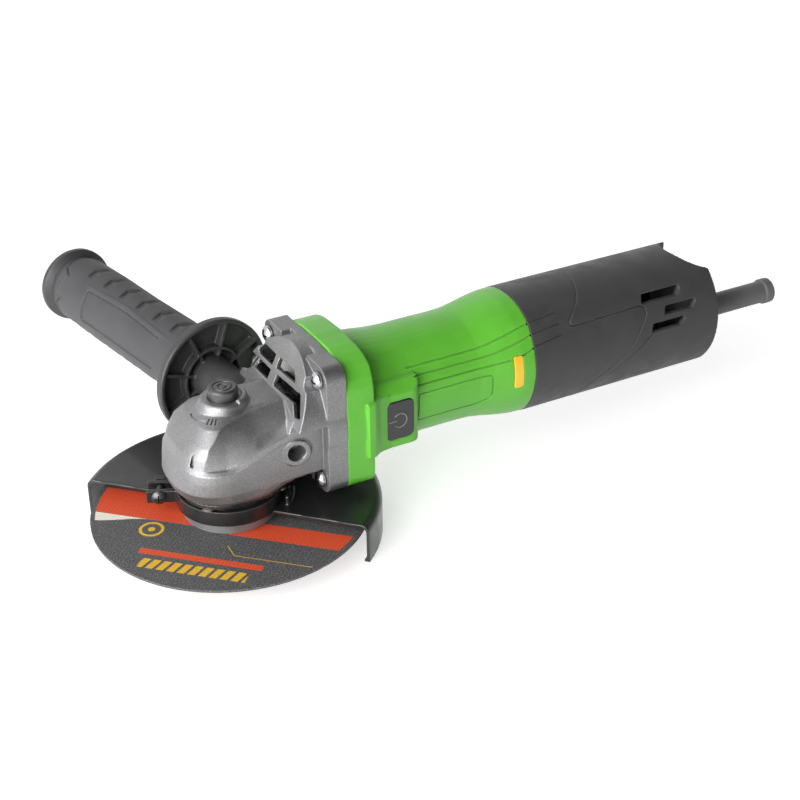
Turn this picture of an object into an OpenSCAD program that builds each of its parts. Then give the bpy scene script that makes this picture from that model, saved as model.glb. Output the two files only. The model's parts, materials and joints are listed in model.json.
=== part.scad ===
// Corded angle grinder for 125 mm discs, built up as separate pieces.
// Origin: on the spindle axis, at the face the disc seats on.  +X runs back along the
// motor axis, +Y points to the side handle, +Z up through the spindle-lock button.

/* [Disc and clamping] */
// Outside diameter of the abrasive disc
disc_d = 125; // [115:1:126]
// Thickness of the disc
disc_t = 1.2; // [1:0.2:2]
// Bore of the disc
disc_bore_d = 22.2; // [22:0.1:22.6]
// Diameter of the inner clamping flange
flange_d = 43; // [38:1:44]
// Thickness of the inner clamping flange
flange_t = 5; // [4.4:0.2:5.2]
// Diameter of the lock nut under the disc
nut_d = 40; // [36:1:44]
// Height of the lock nut
nut_h = 7; // [6:0.5:8]
// Major diameter of the spindle thread
thread_d = 14; // [13.6:0.1:14.2]
// Length of thread that stands out below the lock nut
thread_free = 4; // [3:0.5:5]

/* [Bevel gears] */
// Teeth on the crown gear
gear_teeth = 37; // [34:1:38]
// Teeth on the pinion
pinion_teeth = 11; // [11:1:12]
// Module at the outer ends of the teeth
gear_module = 1.15; // [1.05:0.01:1.18]
// Face width of the teeth
face_w = 6.5; // [5.5:0.5:7]
// Pressure angle
pressure_a = 25; // [22:1:26]
// Gap left between meshing flanks
backlash = 0.2; // [0.15:0.01:0.3]

/* [Spindle] */
// Height of the motor axis above the disc seat
axis_z = 43; // [42:0.5:46]
// Bore of the spindle bearing
spindle_bearing_id = 15; // [15:0.2:15.4]
// Outside diameter of the spindle bearing
spindle_bearing_od = 35; // [34:0.5:35]
// Width of the spindle bearing
spindle_bearing_w = 11; // [10:0.5:11]
// Diameter of the spindle where the crown gear sits
gear_seat_d = 13; // [12:0.5:13.4]
// Diameter of the spindle nose in the upper bush
nose_d = 10; // [9:0.5:10]
// Diameter of the upper bush
bush_d = 14; // [13:0.5:14.4]

/* [Gear case] */
// Height of the underside of the gear case above the disc seat
base_z = 17.5; // [17:0.5:18]
// Height of the flat top of the gear case above the motor axis
plateau_h = 11.5; // [11:0.5:13]
// Reach of the gear case in front of the spindle axis
front_reach = 28.8; // [27:0.2:30]
// Half width of the gear case
case_half_w = 26.5; // [25.5:0.25:28]
// Wall of the vent hood
hood_wall = 2.4; // [2:0.2:3]
// Radius of the vent hood and of the case flange
hood_r = 32; // [31.5:0.25:33]
// Distance from the spindle axis to the face that meets the motor housing
joint_x = 44; // [43.5:0.25:46]
// Thickness of the screw flange of the gear case
case_flange_t = 9.5; // [8.5:0.5:10]
// Spacing of the four gear-case screws
case_screw_pitch = 49.5; // [49:0.25:50]

/* [Motor] */
// Outside diameter of the stator
stator_d = 44; // [42:0.5:45]
// Length of the stator
stator_len = 32; // [28:1:36]
// Number of stator teeth
stator_slots = 9; // [6:3:9]
// Diameter of the rotor as a share of the stator's
rotor_share = 0.5455; // [0.53:0.0005:0.56]
// Diameter of the motor shaft
shaft_d = 10; // [9:0.5:10]
// Diameter of the fan
fan_d = 53; // [48:1:54]
// Number of fan blades
fan_blades = 12; // [9:1:15]

/* [Housings] */
// Radius of the bell of the motor housing
bell_r = 33.5; // [33.5:0.25:35]
// Rear end of the bell, from the spindle axis
bell_x = 58.5; // [57:0.5:61]
// Gap from the stator to the outside of the narrow grip
grip_cover = 4.2; // [4:0.1:5]
// Radius of the barrel behind the grip
barrel_r = 30.3; // [29.6:0.2:32]
// Rear end of the motor housing
housing_x = 142.5; // [140:0.5:150]
// Rear end of the rear cap
tail_x = 247.5; // [244:0.5:256]
// Wall of the plastic housings
shell_wall = 2.6; // [2.2:0.2:2.8]
// Flattening of the barrel between its creases
crease_depth = 0.12; // [0.06:0.01:0.16]

/* [Side handle] */
// Forward lean of the handle axis, in degrees
handle_lean = 10; // [0:1:12]
// Length of the handle from its boss to its end
handle_len = 160; // [145:1:165]
// Diameter of the handle grip
handle_grip_d = 34.8; // [32:0.2:36]
// Diameter of the handle's hand guard
handle_flange_d = 58.5; // [52:0.5:58.5]
// Diameter of the handle thread
handle_thread_d = 8; // [7.6:0.1:8.4]

/* [Guard] */
// Gap between the disc's edge and the outside of the guard
guard_gap = 5.5; // [4:0.5:7]
// Sheet thickness of the guard
guard_t = 1.5; // [1.2:0.1:2]
// Height of the guard skirt's edge below the disc seat
guard_drop = 12; // [10:0.5:13]
// Direction of the middle of the guard, in degrees from +X
guard_dir = 44; // [30:1:60]

/* [Controls and cord inlet] */
// Width of the power button along the housing
button_w = 13.6; // [12:0.2:14.4]
// Height of the power button
button_h = 18.4; // [16:0.2:19]
// Travel of the power button
button_travel = 1.2; // [0.8:0.1:1.4]
// Diameter of the spindle-lock button
lock_button_d = 13.4; // [12.6:0.2:14]
// Travel of the spindle-lock button
lock_travel = 3.2; // [2.6:0.1:3.4]
// Diameter of the strain relief sleeve
relief_d = 11.3; // [10.6:0.1:12]
// Bore of the strain relief sleeve
relief_bore_d = 7.2; // [6.6:0.1:7.4]
// Length of the strain relief outside the rear cap
relief_len = 55.5; // [50:0.5:64]

/* [Hidden] */

$fn = 64;
e = 0.02;                 // overlap that joins two shapes of one piece
fit = 0.02;               // radial clearance of a seated fit
run = 0.05;               // radial clearance of a running fit
seat = 0.3;               // gap between loose neighbours
sheet_gap = 0.15;         // gap of a moulded parting line
crease_a = 35;            // angle of the barrel's creases from its top and bottom

// ---------- bevel gear geometry ----------
gear_ratio = gear_teeth / pinion_teeth;
gear_pitch_r = gear_module * gear_teeth / 2;
pinion_pitch_r = gear_module * pinion_teeth / 2;
pinion_cone = atan(1 / gear_ratio);
gear_cone = 90 - pinion_cone;
cone_dist = norm([gear_pitch_r, pinion_pitch_r]);
cone_inner = (cone_dist - face_w) / cone_dist;
gear_tip_r = gear_pitch_r + gear_module * cos(gear_cone);
gear_back_z = axis_z - pinion_pitch_r - 9;
gear_web_z = axis_z - pinion_pitch_r - 1;
chamber_r = gear_tip_r + 0.5;
chamber_top = axis_z - 2;

// ---------- places along the spindle ----------
nut_bottom = -disc_t - nut_h;
spindle_tip = nut_bottom - thread_free;
bearing_z = 8;
bearing_top = bearing_z + spindle_bearing_w;
nose_top = axis_z + 3;
circlip_t = 1.2;
tongue_h = lock_travel + 0.1;
plateau_z = axis_z + plateau_h;
lock_boss_z = plateau_z + 3;
lock_button_top = plateau_z + 7.9;

// ---------- places along the motor axis ----------
pinion_nose_x = 9.6;
pinion_front_x = gear_pitch_r * cone_inner - 0.4;
pinion_back_x = gear_pitch_r + 1.2;
front_bearing_d = 26;
front_bearing_w = 8;
front_bearing_x = 25.2;
case_flange_x = joint_x - case_flange_t;
fan_x = 36.6;
fan_len = 10.4;
baffle_x = joint_x + 5.2;
stator_x = 61;
coil_over = 4;
rotor_x = stator_x - 1;
rotor_d = stator_d * rotor_share;
rotor_len = stator_len + 2;
bearing_wall_x = stator_x + stator_len + 8;
rear_bearing_d = 19;
rear_bearing_w = 6;
rear_bearing_x = bearing_wall_x + 3;
rear_shaft_d = 7;
bearing_wall_t = 11;
shaft_end_x = rear_bearing_x + rear_bearing_w + 1.5;
motor_bore_r = stator_d / 2 + fit;
grip_r = stator_d / 2 + grip_cover;
rear_bore_r = grip_r - shell_wall - 1.2;

// ---------- side handle ----------
boss_x = 21.2;
boss_z = axis_z - 6.5;
boss_y = case_half_w + 1.1;
boss_r = 6.2;
stud_depth = 10.5;
handle_gap = 0.2;
handle_flange_s = 24.5;
grip_s = handle_flange_s + 8;
end_flange_s = handle_len - 7;
stud_r = handle_thread_d / 2 - run;

// ---------- guard ----------
collar_z = flange_t + 0.5;
collar_h = 7.4;
neck_r = 21.3;
collar_r = neck_r + 0.06 + 2.6;
guard_edge = -7;
guard_r = disc_d / 2 + guard_gap;
guard_top = collar_z + guard_t;
lug_dir = 155;
lug_out = 36.5;
lug_gap = 5;
lug_t = 2.4;
lug_z = guard_top + 0.1;
lug_h = 6.1;
lug_screw_z = lug_z + 3.2;

// ---------- rear parts ----------
inner_barrel_r = barrel_r - shell_wall;
throat_r = side_mid(inner_barrel_r) - 2;
relief_drop = 8;
scoop_r = 18.5;
scoop_depth = 12;
scoop_x = tail_x - scoop_depth;
button_x = housing_x - 71.8;
button_z = axis_z - 3.2;
pod_y = -stator_d / 2 - 7.2;
switch_y = -stator_d / 2 - 0.7;
button_back_y = switch_y - 2.4 - button_travel;
lens_x = housing_x - 8.6;

// ---------- helpers ----------
module along_x(x) { translate([x, 0, axis_z]) rotate([0, 90, 0]) children(); }
module ring(ro, ri, h) {
    difference() {
        cylinder(r = ro, h = h);
        translate([0, 0, -e]) cylinder(r = ri, h = h + 2 * e);
    }
}
module tube_x(x, ro, ri, len) { along_x(x) ring(ro, ri, len); }
module at_boss(side = 1) {
    translate([boss_x, side * boss_y, boss_z])
        rotate([0, 0, side * handle_lean]) rotate([-side * 90, 0, 0]) children();
}
module case_screws_at(x) {
    for (sy = [-1, 1], sz = [-1, 1])
        translate([x, sy * case_screw_pitch / 2, axis_z + sz * case_screw_pitch / 2])
            rotate([0, 90, 0]) children();
}
module pan_head(r, h) { rotate_extrude() pan_profile(r, h); }
module pan_profile(r, h) {
    intersection() {
        translate([0, h - 1.35 * r]) circle(r = 1.35 * r);
        square([r, h]);
    }
}
module cross_slot(r, depth, h) {
    for (a = [0, 90])
        rotate(a) translate([-r * 0.62, -r * 0.13, h - depth])
            cube([r * 1.24, r * 0.26, depth + 1]);
}
// A screw along +Z: the head's underside is at z = 0, the shank runs down.
module machine_screw(shank_r, shank_l, head_r, head_h) {
    translate([0, 0, -shank_l]) cylinder(r = shank_r, h = shank_l + e);
    difference() {
        pan_head(head_r, head_h);
        cross_slot(head_r, head_h * 0.55, head_h);
    }
}

// Closed solid through rings of points; every ring has the same number of points and
// turns so that, seen from the last ring, it runs anticlockwise.
module loft(rings) {
    n = len(rings[0]);
    m = len(rings);
    first_mid = [for (k = [0:2]) middle([for (p = rings[0]) p[k]])];
    last_mid = [for (k = [0:2]) middle([for (p = rings[m - 1]) p[k]])];
    pts = concat([for (r = rings) each r], [first_mid, last_mid]);
    sides = [for (i = [0:m - 2], j = [0:n - 1]) each [
        [i * n + j, (i + 1) * n + (j + 1) % n, i * n + (j + 1) % n],
        [i * n + j, (i + 1) * n + j, (i + 1) * n + (j + 1) % n]]];
    caps = [for (j = [0:n - 1]) each [
        [m * n, j, (j + 1) % n],
        [m * n + 1, (m - 1) * n + (j + 1) % n, (m - 1) * n + j]]];
    polyhedron(points = pts, faces = concat(sides, caps), convexity = 6);
}
function middle(v) = (min(v) + max(v)) / 2;

// ---------- creased barrel section ----------
// Four arcs that meet in creases, crease_a either side of the top and the bottom.
function cap_mid(r) = r * (1 - crease_depth * (1 - cos(crease_a)));
function side_mid(r) = r * (1 - crease_depth * (1 - sin(crease_a)));
function arc_radius(half_chord, rise) = (pow(half_chord, 2) + pow(rise, 2)) / (2 * rise);
function cap_radius(r) = arc_radius(r * sin(crease_a), cap_mid(r) - r * cos(crease_a));
function side_radius(r) = arc_radius(r * cos(crease_a), side_mid(r) - r * sin(crease_a));
function polar_arc(rad, mid, a) =
    sqrt(pow(rad, 2) - pow((rad - mid) * sin(a), 2)) - (rad - mid) * cos(a);
function fold(a) = abs((a + 90) % 180 - 90);
function barrel_polar(r, a) =
    let (f = fold(a))
    f < crease_a ? polar_arc(cap_radius(r), cap_mid(r), f)
    : polar_arc(side_radius(r), side_mid(r), 90 - f);
module barrel_section(r) {
    intersection() {
        intersection() {
            translate([cap_radius(r) - cap_mid(r), 0]) circle(r = cap_radius(r), $fn = 180);
            translate([cap_mid(r) - cap_radius(r), 0]) circle(r = cap_radius(r), $fn = 180);
        }
        intersection() {
            translate([0, side_radius(r) - side_mid(r)])
                circle(r = side_radius(r), $fn = 180);
            translate([0, side_mid(r) - side_radius(r)])
                circle(r = side_radius(r), $fn = 180);
        }
    }
}
module barrel_x(x, len, r) { along_x(x) linear_extrude(len) barrel_section(r); }
module rounded(w, h, r) {
    square([w - 2 * r, h], center = true);
    square([w, h - 2 * r], center = true);
    for (sx = [-1, 1], sy = [-1, 1])
        translate([sx * (w / 2 - r), sy * (h / 2 - r)]) circle(r = r);
}
// A rounded block on the -Y side: w along X, h along Z, from y0 out to y1.
module side_block(x, z, w, h, r, y0, y1) {
    translate([x, y0, z]) rotate([90, 0, 0]) linear_extrude(y0 - y1) rounded(w, h, r);
}
function smooth(t) = let (u = min(max(t, 0), 1)) u * u * (3 - 2 * u);

// ---------- ball bearings ----------
function ball_r(od, id) = (od - id) * 0.15;
function ball_pitch_r(od, id) = (od + id) / 4;
module ball_groove(od, id, w) {
    translate([0, 0, w / 2]) rotate_extrude()
        translate([ball_pitch_r(od, id), 0]) circle(r = ball_r(od, id) + run);
}
module bearing_outer(od, id, w) {
    land = ball_pitch_r(od, id) + ball_r(od, id) * 0.55;
    balls = floor(180 / asin(ball_r(od, id) / ball_pitch_r(od, id)) * 0.82);
    difference() {
        ring(od / 2, land, w);
        ball_groove(od, id, w);
    }
    for (i = [0:balls - 1])
        rotate(i * 360 / balls) translate([ball_pitch_r(od, id), 0, w / 2])
            sphere(r = ball_r(od, id));
}
module bearing_inner(od, id, w) {
    land = ball_pitch_r(od, id) - ball_r(od, id) * 0.55;
    difference() {
        ring(land, id / 2 + fit, w);
        ball_groove(od, id, w);
    }
}

// ---------- bevel teeth ----------
// Tooth flanks are involutes on the back cone, drawn towards the cone's apex.
function involute(a) = tan(a) * 180 / PI - a;
function back_r(pitch_r, cone) = pitch_r / cos(cone);
function half_angle(rho, rv, teeth, cone) =
    let (base = rv * cos(pressure_a),
         virtual_teeth = teeth / cos(cone),
         slack = backlash / 2 / rv * 180 / PI,
         roll = acos(min(1, base / max(rho, base))))
    90 / virtual_teeth - slack + involute(pressure_a) - involute(roll);
flank_steps = 4;
function tooth_heights(rv) =
    let (low = rv - 1.25 * gear_module, high = rv + gear_module)
    [for (i = [0:flank_steps]) low + (high - low) * i / flank_steps];
// One tooth as [rho, angle on the developed back cone], rising then falling flank.
function tooth(rv, teeth, cone) =
    let (hs = tooth_heights(rv))
    concat([for (h = hs) [h, -half_angle(h, rv, teeth, cone)]],
           [for (i = [flank_steps:-1:0]) [hs[i], half_angle(hs[i], rv, teeth, cone)]]);
// Back cone point to [radius, azimuth, distance from the apex along the axis].
function cone_point(p, cone, azimuth) =
    [p[0] * cos(cone), azimuth + p[1] / cos(cone), cone_dist / cos(cone) - p[0] * sin(cone)];
function tooth_ring(pitch_r, teeth, cone, phase, share) =
    let (rv = back_r(pitch_r, cone), t = tooth(rv, teeth, cone))
    [for (i = [0:teeth - 1], p = t)
        let (q = cone_point(p, cone, phase + i * 360 / teeth))
        [q[0] * cos(q[1]), q[0] * sin(q[1]), q[2]] * share];
function flat_ring(pitch_r, teeth, cone, phase, r, z) =
    let (rv = back_r(pitch_r, cone), t = tooth(rv, teeth, cone))
    [for (i = [0:teeth - 1], p = t)
        let (a = phase + i * 360 / teeth + p[1] / cos(cone)) [r * cos(a), r * sin(a), z]];

// ---------- spindle group ----------
module crown_gear() {
    hub_r = gear_seat_d / 2 + 4;
    small_r = gear_pitch_r * cone_inner;
    turn = 180 / gear_teeth;
    color("dimgray") difference() {
        union() {
            translate([0, 0, axis_z]) rotate([180, 0, 0]) loft([
                flat_ring(gear_pitch_r, gear_teeth, gear_cone, turn, hub_r,
                    axis_z - gear_web_z),
                flat_ring(gear_pitch_r, gear_teeth, gear_cone, turn, small_r - 1.6,
                    axis_z - gear_web_z - 0.2),
                tooth_ring(gear_pitch_r, gear_teeth, gear_cone, turn, cone_inner),
                tooth_ring(gear_pitch_r, gear_teeth, gear_cone, turn, 1),
                flat_ring(gear_pitch_r, gear_teeth, gear_cone, turn,
                    gear_pitch_r - 0.8, axis_z - gear_web_z + 3.4)]);
            translate([0, 0, gear_back_z]) cylinder(r = hub_r, h = 6);
        }
        translate([0, 0, gear_back_z - e])
            cylinder(r = gear_seat_d / 2 + fit, h = 20);
    }
}
module spindle() {
    flat = thread_d / 2 - 1;
    color("silver") difference() {
        union() {
            translate([0, 0, spindle_tip + 1])
                cylinder(r = thread_d / 2, h = flange_t - spindle_tip - 1 + e);
            translate([0, 0, spindle_tip])
                cylinder(r1 = thread_d / 2 - 1, r2 = thread_d / 2, h = 1 + e);
            translate([0, 0, flange_t])
                cylinder(r = spindle_bearing_id / 2, h = bearing_top - flange_t + 1);
            translate([0, 0, bearing_top + 0.2])
                cylinder(r = spindle_bearing_id / 2 + 1.6, h = gear_back_z - bearing_top - 0.2);
            cylinder(r = gear_seat_d / 2, h = gear_web_z + 1.8);
            cylinder(r = nose_d / 2, h = nose_top);
        }
        for (s = [-1, 1])
            translate([-thread_d, s > 0 ? flat : -flat - 2, 0])
                cube([2 * thread_d, 2, flange_t]);
        translate([0, 0, gear_web_z + 0.1])
            ring(gear_seat_d, gear_seat_d / 2 - 0.9, circlip_t + 0.1);
        for (a = [0, 90])
            rotate(a) translate([-nose_d, -1.3, nose_top - 3.8]) cube([2 * nose_d, 2.6, 4]);
    }
}
module gear_circlip() {
    color("slategray") translate([0, 0, gear_web_z + 0.15]) difference() {
        ring(gear_seat_d / 2 + 1.1, gear_seat_d / 2 - 0.85, circlip_t);
        translate([0, -1.5, -e]) cube([gear_seat_d, 3, circlip_t + 2 * e]);
    }
}
module spindle_bush() {
    color("peru") translate([0, 0, chamber_top + e])
        ring(bush_d / 2, nose_d / 2 + run, nose_top - chamber_top - 2 * e);
}
module spindle_bearing_outer() {
    color("lightsteelblue") translate([0, 0, bearing_z])
        bearing_outer(spindle_bearing_od, spindle_bearing_id, spindle_bearing_w);
}
module spindle_bearing_inner() {
    color("lightsteelblue") translate([0, 0, bearing_z])
        bearing_inner(spindle_bearing_od, spindle_bearing_id, spindle_bearing_w);
}
retainer_screw_r = 24.4;
retainer_plate_t = 2;
retainer_w = 46.4;
module retainer_screws_at(z) {
    for (a = [45:90:315])
        rotate(a) translate([retainer_screw_r, 0, z]) children();
}
module bearing_retainer() {
    low = bearing_z - 1.8;
    color("darkgray") difference() {
        union() {
            translate([0, 0, low]) cylinder(r = neck_r, h = base_z - low - 0.02);
            translate([0, 0, base_z - retainer_plate_t]) linear_extrude(retainer_plate_t - 0.02)
                rounded(retainer_w, retainer_w, 16);
        }
        translate([0, 0, bearing_z - 0.02])
            cylinder(r = spindle_bearing_od / 2 + fit, h = spindle_bearing_w + 1);
        cylinder(r = spindle_bearing_id / 2 + 2.4, h = base_z);
        retainer_screws_at(0) cylinder(r = 1.6, h = base_z + 1);
    }
}
module retainer_screws() {
    color("silver") retainer_screws_at(base_z - retainer_plate_t)
        rotate([180, 0, 0]) machine_screw(1.48, 9, 2.6, 1.9);
}
module dust_seal() {
    color("black") translate([0, 0, bearing_z - 1.7])
        ring(spindle_bearing_id / 2 + 2.38, spindle_bearing_id / 2 + seat, 1.6);
}
module inner_flange() {
    flat = thread_d / 2 - 1 + run;
    color("gray") difference() {
        union() {
            cylinder(r = flange_d / 2 - 0.6, h = flange_t - 0.02);
            translate([0, 0, 0.6]) cylinder(r = flange_d / 2, h = flange_t - 1.6);
            translate([0, 0, 1 - disc_t]) cylinder(r = disc_bore_d / 2 - run, h = disc_t);
        }
        intersection() {
            translate([0, 0, -disc_t]) cylinder(r = thread_d / 2 + run, h = 2 * flange_t);
            translate([0, 0, -disc_t]) linear_extrude(2 * flange_t)
                square([2 * thread_d, 2 * flat], center = true);
        }
        translate([0, 0, -disc_t]) cylinder(r = thread_d / 2 + run, h = disc_t);
        translate([0, 0, flange_t - 1.2]) ring(flange_d / 2 - 2.6, flange_d / 2 - 6, 2);
    }
}
module cutting_disc() {
    color("darkslategray") translate([0, 0, -disc_t])
        ring(disc_d / 2, disc_bore_d / 2, disc_t);
}
module lock_nut() {
    color("dimgray") difference() {
        translate([0, 0, nut_bottom]) cylinder(r = nut_d / 2, h = nut_h);
        translate([0, 0, nut_bottom - 1]) cylinder(r = thread_d / 2 + fit, h = nut_h + 2);
        for (a = [0:90:270])
            rotate(a) translate([nut_d / 2 - 5, 0, nut_bottom - 1])
                cylinder(r = 2.5, h = nut_h - 1.5);
        translate([0, 0, -disc_t - 1]) ring(nut_d / 2 - 6, thread_d / 2 - 1, 2);
    }
}

// ---------- gear case ----------
nose_steps = 26;
side_steps = 7;
// Plan outline of the case at one height, from the rear along +Y, round the nose and back
// along -Y.  rear holds the outline's rear end, its half width there and how the flank
// bends; climb holds the slope towards the rear, where it starts, and its extra bend.
function climb_z(x, climb) =
    climb[0] * max(0, x - climb[1]) + climb[2] * pow(max(0, x - 8), 2);
function case_ring(z, reach, half, mid_x, corner, rear, climb = [0, 0, 0]) =
    let (span = rear[0] - mid_x,
         flank = [for (i = [0:side_steps - 1])
             let (t = 1 - i / side_steps)
             [mid_x + span * t, half + (rear[1] - half) * pow(t, rear[2])]],
         nose = [for (i = [0:nose_steps])
             let (a = 90 - 180 * i / nose_steps, c = abs(cos(a)), s = abs(sin(a)))
             [mid_x - (reach + mid_x) * pow(c, corner), sign(a) * half * pow(s, corner)]],
         back = [for (i = [side_steps - 1:-1:0]) [flank[i][0], -flank[i][1]]])
    [for (p = concat(flank, nose, back)) [p[0], p[1], z + climb_z(p[0], climb)]];
module case_body() {
    back = case_flange_x + 2;
    w = case_half_w;
    f = front_reach;
    step = [0.36, -8, 0];
    loft([case_ring(base_z, f - 3.8, w - 1.8, 0, 0.88, [25, 8, 3]),
        case_ring(base_z + 1.6, f - 2.4, w - 0.7, 0, 0.84, [25.8, 9, 3]),
        case_ring(base_z + 6, f - 1, w - 0.2, 0, 0.76, [back, w - 0.6, 2]),
        case_ring(axis_z - 13, f - 2.4, w, 0, 0.68, [back, w, 2]),
        case_ring(axis_z - 9.2, f - 3.1, w - 0.1, 0, 0.66, [back, w, 2], step),
        case_ring(axis_z - 8.5, f - 3.5, w - 0.8, 0, 0.66, [back, w - 0.8, 2], step),
        case_ring(axis_z - 7.6, f - 3.8, w - 1.9, 0, 0.65, [back, w - 1.8, 2], step),
        case_ring(axis_z - 3, f - 5.2, w - 2.4, 0, 0.65, [back, w - 2.2, 2], [0.3, -5, 0]),
        case_ring(axis_z + 1.8, f - 8.6, w - 2.6, 0, 0.66, [back, w - 2.6, 2], [0.23, -3, 0]),
        case_ring(plateau_z - 4.4, f - 13.6, w - 10, 0, 0.56, [back, w - 15.6, 1],
            [plateau_slope, -20, 0]),
        case_ring(plateau_z + 0.4, 9.5, 9.5, 0, 0.9, [back, 8, 1], [-0.02, 0, 0])]);
}
// Ribs that tie the flange's upper ears to the sides of the case.
module case_gussets() {
    deep = 5;
    for (s = [-1, 1])
        translate([0, s * (case_half_w - 0.4) + (s < 0 ? deep : 0), axis_z])
            rotate([90, 0, 0]) linear_extrude(deep)
                polygon([[case_flange_x + 1, 17], [case_flange_x - 9, 5],
                    [case_flange_x + 1, 1]]);
}
hood_lean = atan(0.47);
hood_foot_x = 18.5;
module hood_half_space(shift, low) {
    reach = hood_r + 4;
    translate([0, hood_r + 2, 0]) rotate([90, 0, 0]) linear_extrude(2 * hood_r + 4)
        polygon([[hood_foot_x + shift + low * tan(hood_lean), axis_z + low],
            [joint_x, axis_z + low], [joint_x, axis_z + reach],
            [hood_foot_x + shift + reach * tan(hood_lean), axis_z + reach]]);
}
module hood_outer() {
    intersection() {
        along_x(14) cylinder(r = hood_r, h = case_flange_x + 1 - 14);
        hood_half_space(0, 5);
    }
}
module hood_inner() {
    difference() {
        intersection() {
            along_x(14) cylinder(r = hood_r - hood_wall, h = joint_x - 14);
            hood_half_space(hood_wall, 9.5);
        }
        along_x(14) cylinder(r = front_bearing_d / 2 + 3.2, h = case_flange_x - 15.4);
    }
}
// The four slots, drawn on the hood's sloping face: x across, y up the slope.
slot_bar_y = 4.6;
module hood_slots_2d() {
    b = slot_bar_y;
    polygon([[b + 4.4, 21], [b + 15.4, 21], [b + 17.8, 22.2], [b + 14.6, 25], [b + 4.4, 25]]);
    polygon([[b - 0.9, 21.6], [b - 17.6, 22.6], [b - 14.4, 25.6], [b - 0.9, 24.9]]);
    polygon([[b + 4, 14], [b + 19, 14], [b + 22, 9.4], [b + 26.6, 9.4], [b + 22.8, 17.6],
        [b + 4, 17.6]]);
    polygon([[b - 3.6, 14.2], [b - 23, 15.2], [b - 28, 10.6], [b - 31.4, 11.4],
        [b - 25.2, 19], [b - 3.6, 18]]);
}
module hood_slots() {
    translate([hood_foot_x, 0, axis_z]) rotate([0, hood_lean, 0]) rotate([90, 0, -90])
        translate([0, 0, -hood_wall - 3]) linear_extrude(hood_wall + 6)
            mirror([1, 0]) hood_slots_2d();
}
ear_r = 6.4;
flange_wall = 1.6;
plateau_slope = 0.094;
module case_flange_2d() {
    circle(r = hood_r);
    half = case_screw_pitch / 2;
    for (s = [-1, 1])
        translate([-half, s * (half + ear_r / 2) - ear_r / 2]) square([2 * half, ear_r]);
    for (sx = [-1, 1], sy = [-1, 1]) {
        translate([sx * half, sy * half]) circle(r = ear_r);
        translate([sx * (half - 6), sy * (half + ear_r - 6) ]) square(12, center = true);
        translate([sx * (half + ear_r - 6), sy * (half - 6)]) square(12, center = true);
    }
}
module handle_bosses() {
    for (s = [-1, 1])
        at_boss(s) {
            translate([0, 0, -8]) cylinder(r = boss_r, h = 8);
            translate([0, 0, -8]) cylinder(r1 = boss_r + 4, r2 = boss_r + 0.6, h = 6.6);
        }
}
// The raised ring round the lock button: a skirt, a flat rim and a lip at the back.
module boss_skirt() {
    rotate_extrude() polygon([[0, axis_z], [12, axis_z], [12, plateau_z - 0.6],
        [10.9, plateau_z + 0.9], [10.4, lock_boss_z - 0.8], [9.6, lock_boss_z],
        [0, lock_boss_z]]);
    intersection() {
        translate([0, 0, plateau_z - 4]) rotate_extrude()
            translate([9.2, lock_boss_z - plateau_z + 4]) circle(r = 1.3, $fn = 20);
        rotate(20) translate([0, -12, plateau_z - 4]) cube([24, 24, 12]);
    }
}
module gear_case() {
    color("gray") difference() {
        union() {
            case_body();
            case_gussets();
            boss_skirt();
            hood_outer();
            along_x(case_flange_x) linear_extrude(case_flange_t) case_flange_2d();
            handle_bosses();
        }
        hood_inner();
        hood_slots();
        translate([0, 0, base_z - 1]) cylinder(r = chamber_r, h = chamber_top - base_z + 1);
        translate([0, 0, axis_z - 3]) cylinder(r = bush_d / 2 + fit, h = 6);
        translate([0, 0, nose_top]) cylinder(r = 4.4, h = tongue_h + 2 * seat);
        translate([0, 0, nose_top]) cylinder(r = 3.1, h = 12);
        translate([0, 0, nose_top + 6]) cylinder(r = lock_button_d / 2 + run, h = 12);
        along_x(bush_d / 2 + 2) cylinder(r = pinion_pitch_r + 2.6, h = front_bearing_x - 8);
        along_x(front_bearing_x) cylinder(r = front_bearing_d / 2 + fit, h = 30);
        along_x(case_flange_x + flange_wall) cylinder(r = hood_r - 4, h = 30);
        retainer_screws_at(base_z - 1) cylinder(r = 1.5, h = 9);
        case_screws_at(case_flange_x - 6) cylinder(r = 2.2, h = 20);
        case_screws_at(case_flange_x - 14) cylinder(r = 4.6, h = 14 - 0.6);
        for (s = [-1, 1])
            at_boss(s) translate([0, 0, -stud_depth]) cylinder(r = handle_thread_d / 2, h = 20);
    }
}
module gear_case_screws() {
    color("silver") case_screws_at(case_flange_x - 0.6)
        rotate([180, 0, 0]) machine_screw(2.1, 20, 4, 3);
}
module lock_button() {
    color("silver") difference() {
        union() {
            translate([0, 0, plateau_z + 1.4])
                cylinder(r = lock_button_d / 2, h = lock_button_top - plateau_z - 2.2);
            translate([0, 0, lock_button_top - 0.8 - e])
                cylinder(r1 = lock_button_d / 2, r2 = lock_button_d / 2 - 0.8, h = 0.8);
        }
        translate([0, 0, lock_button_top - 0.5]) {
            ring(lock_button_d / 2 - 2.2, lock_button_d / 2 - 2.8, 2);
            ring(2.2, 1.5, 2);
        }
        translate([0, 0, plateau_z]) cylinder(r = 3 + fit, h = 5);
    }
}
module lock_pin() {
    color("darkgray") {
        translate([0, 0, nose_top + seat]) intersection() {
            cylinder(r = 4, h = tongue_h);
            union() {
                translate([-5, -1.15, 0]) cube([10, 2.3, tongue_h]);
                translate([-1.15, -5, 0]) cube([2.3, 10, tongue_h]);
            }
        }
        translate([0, 0, nose_top + seat + tongue_h - e])
            cylinder(r = 3, h = plateau_z + 5 - nose_top - seat - tongue_h);
    }
}
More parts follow.
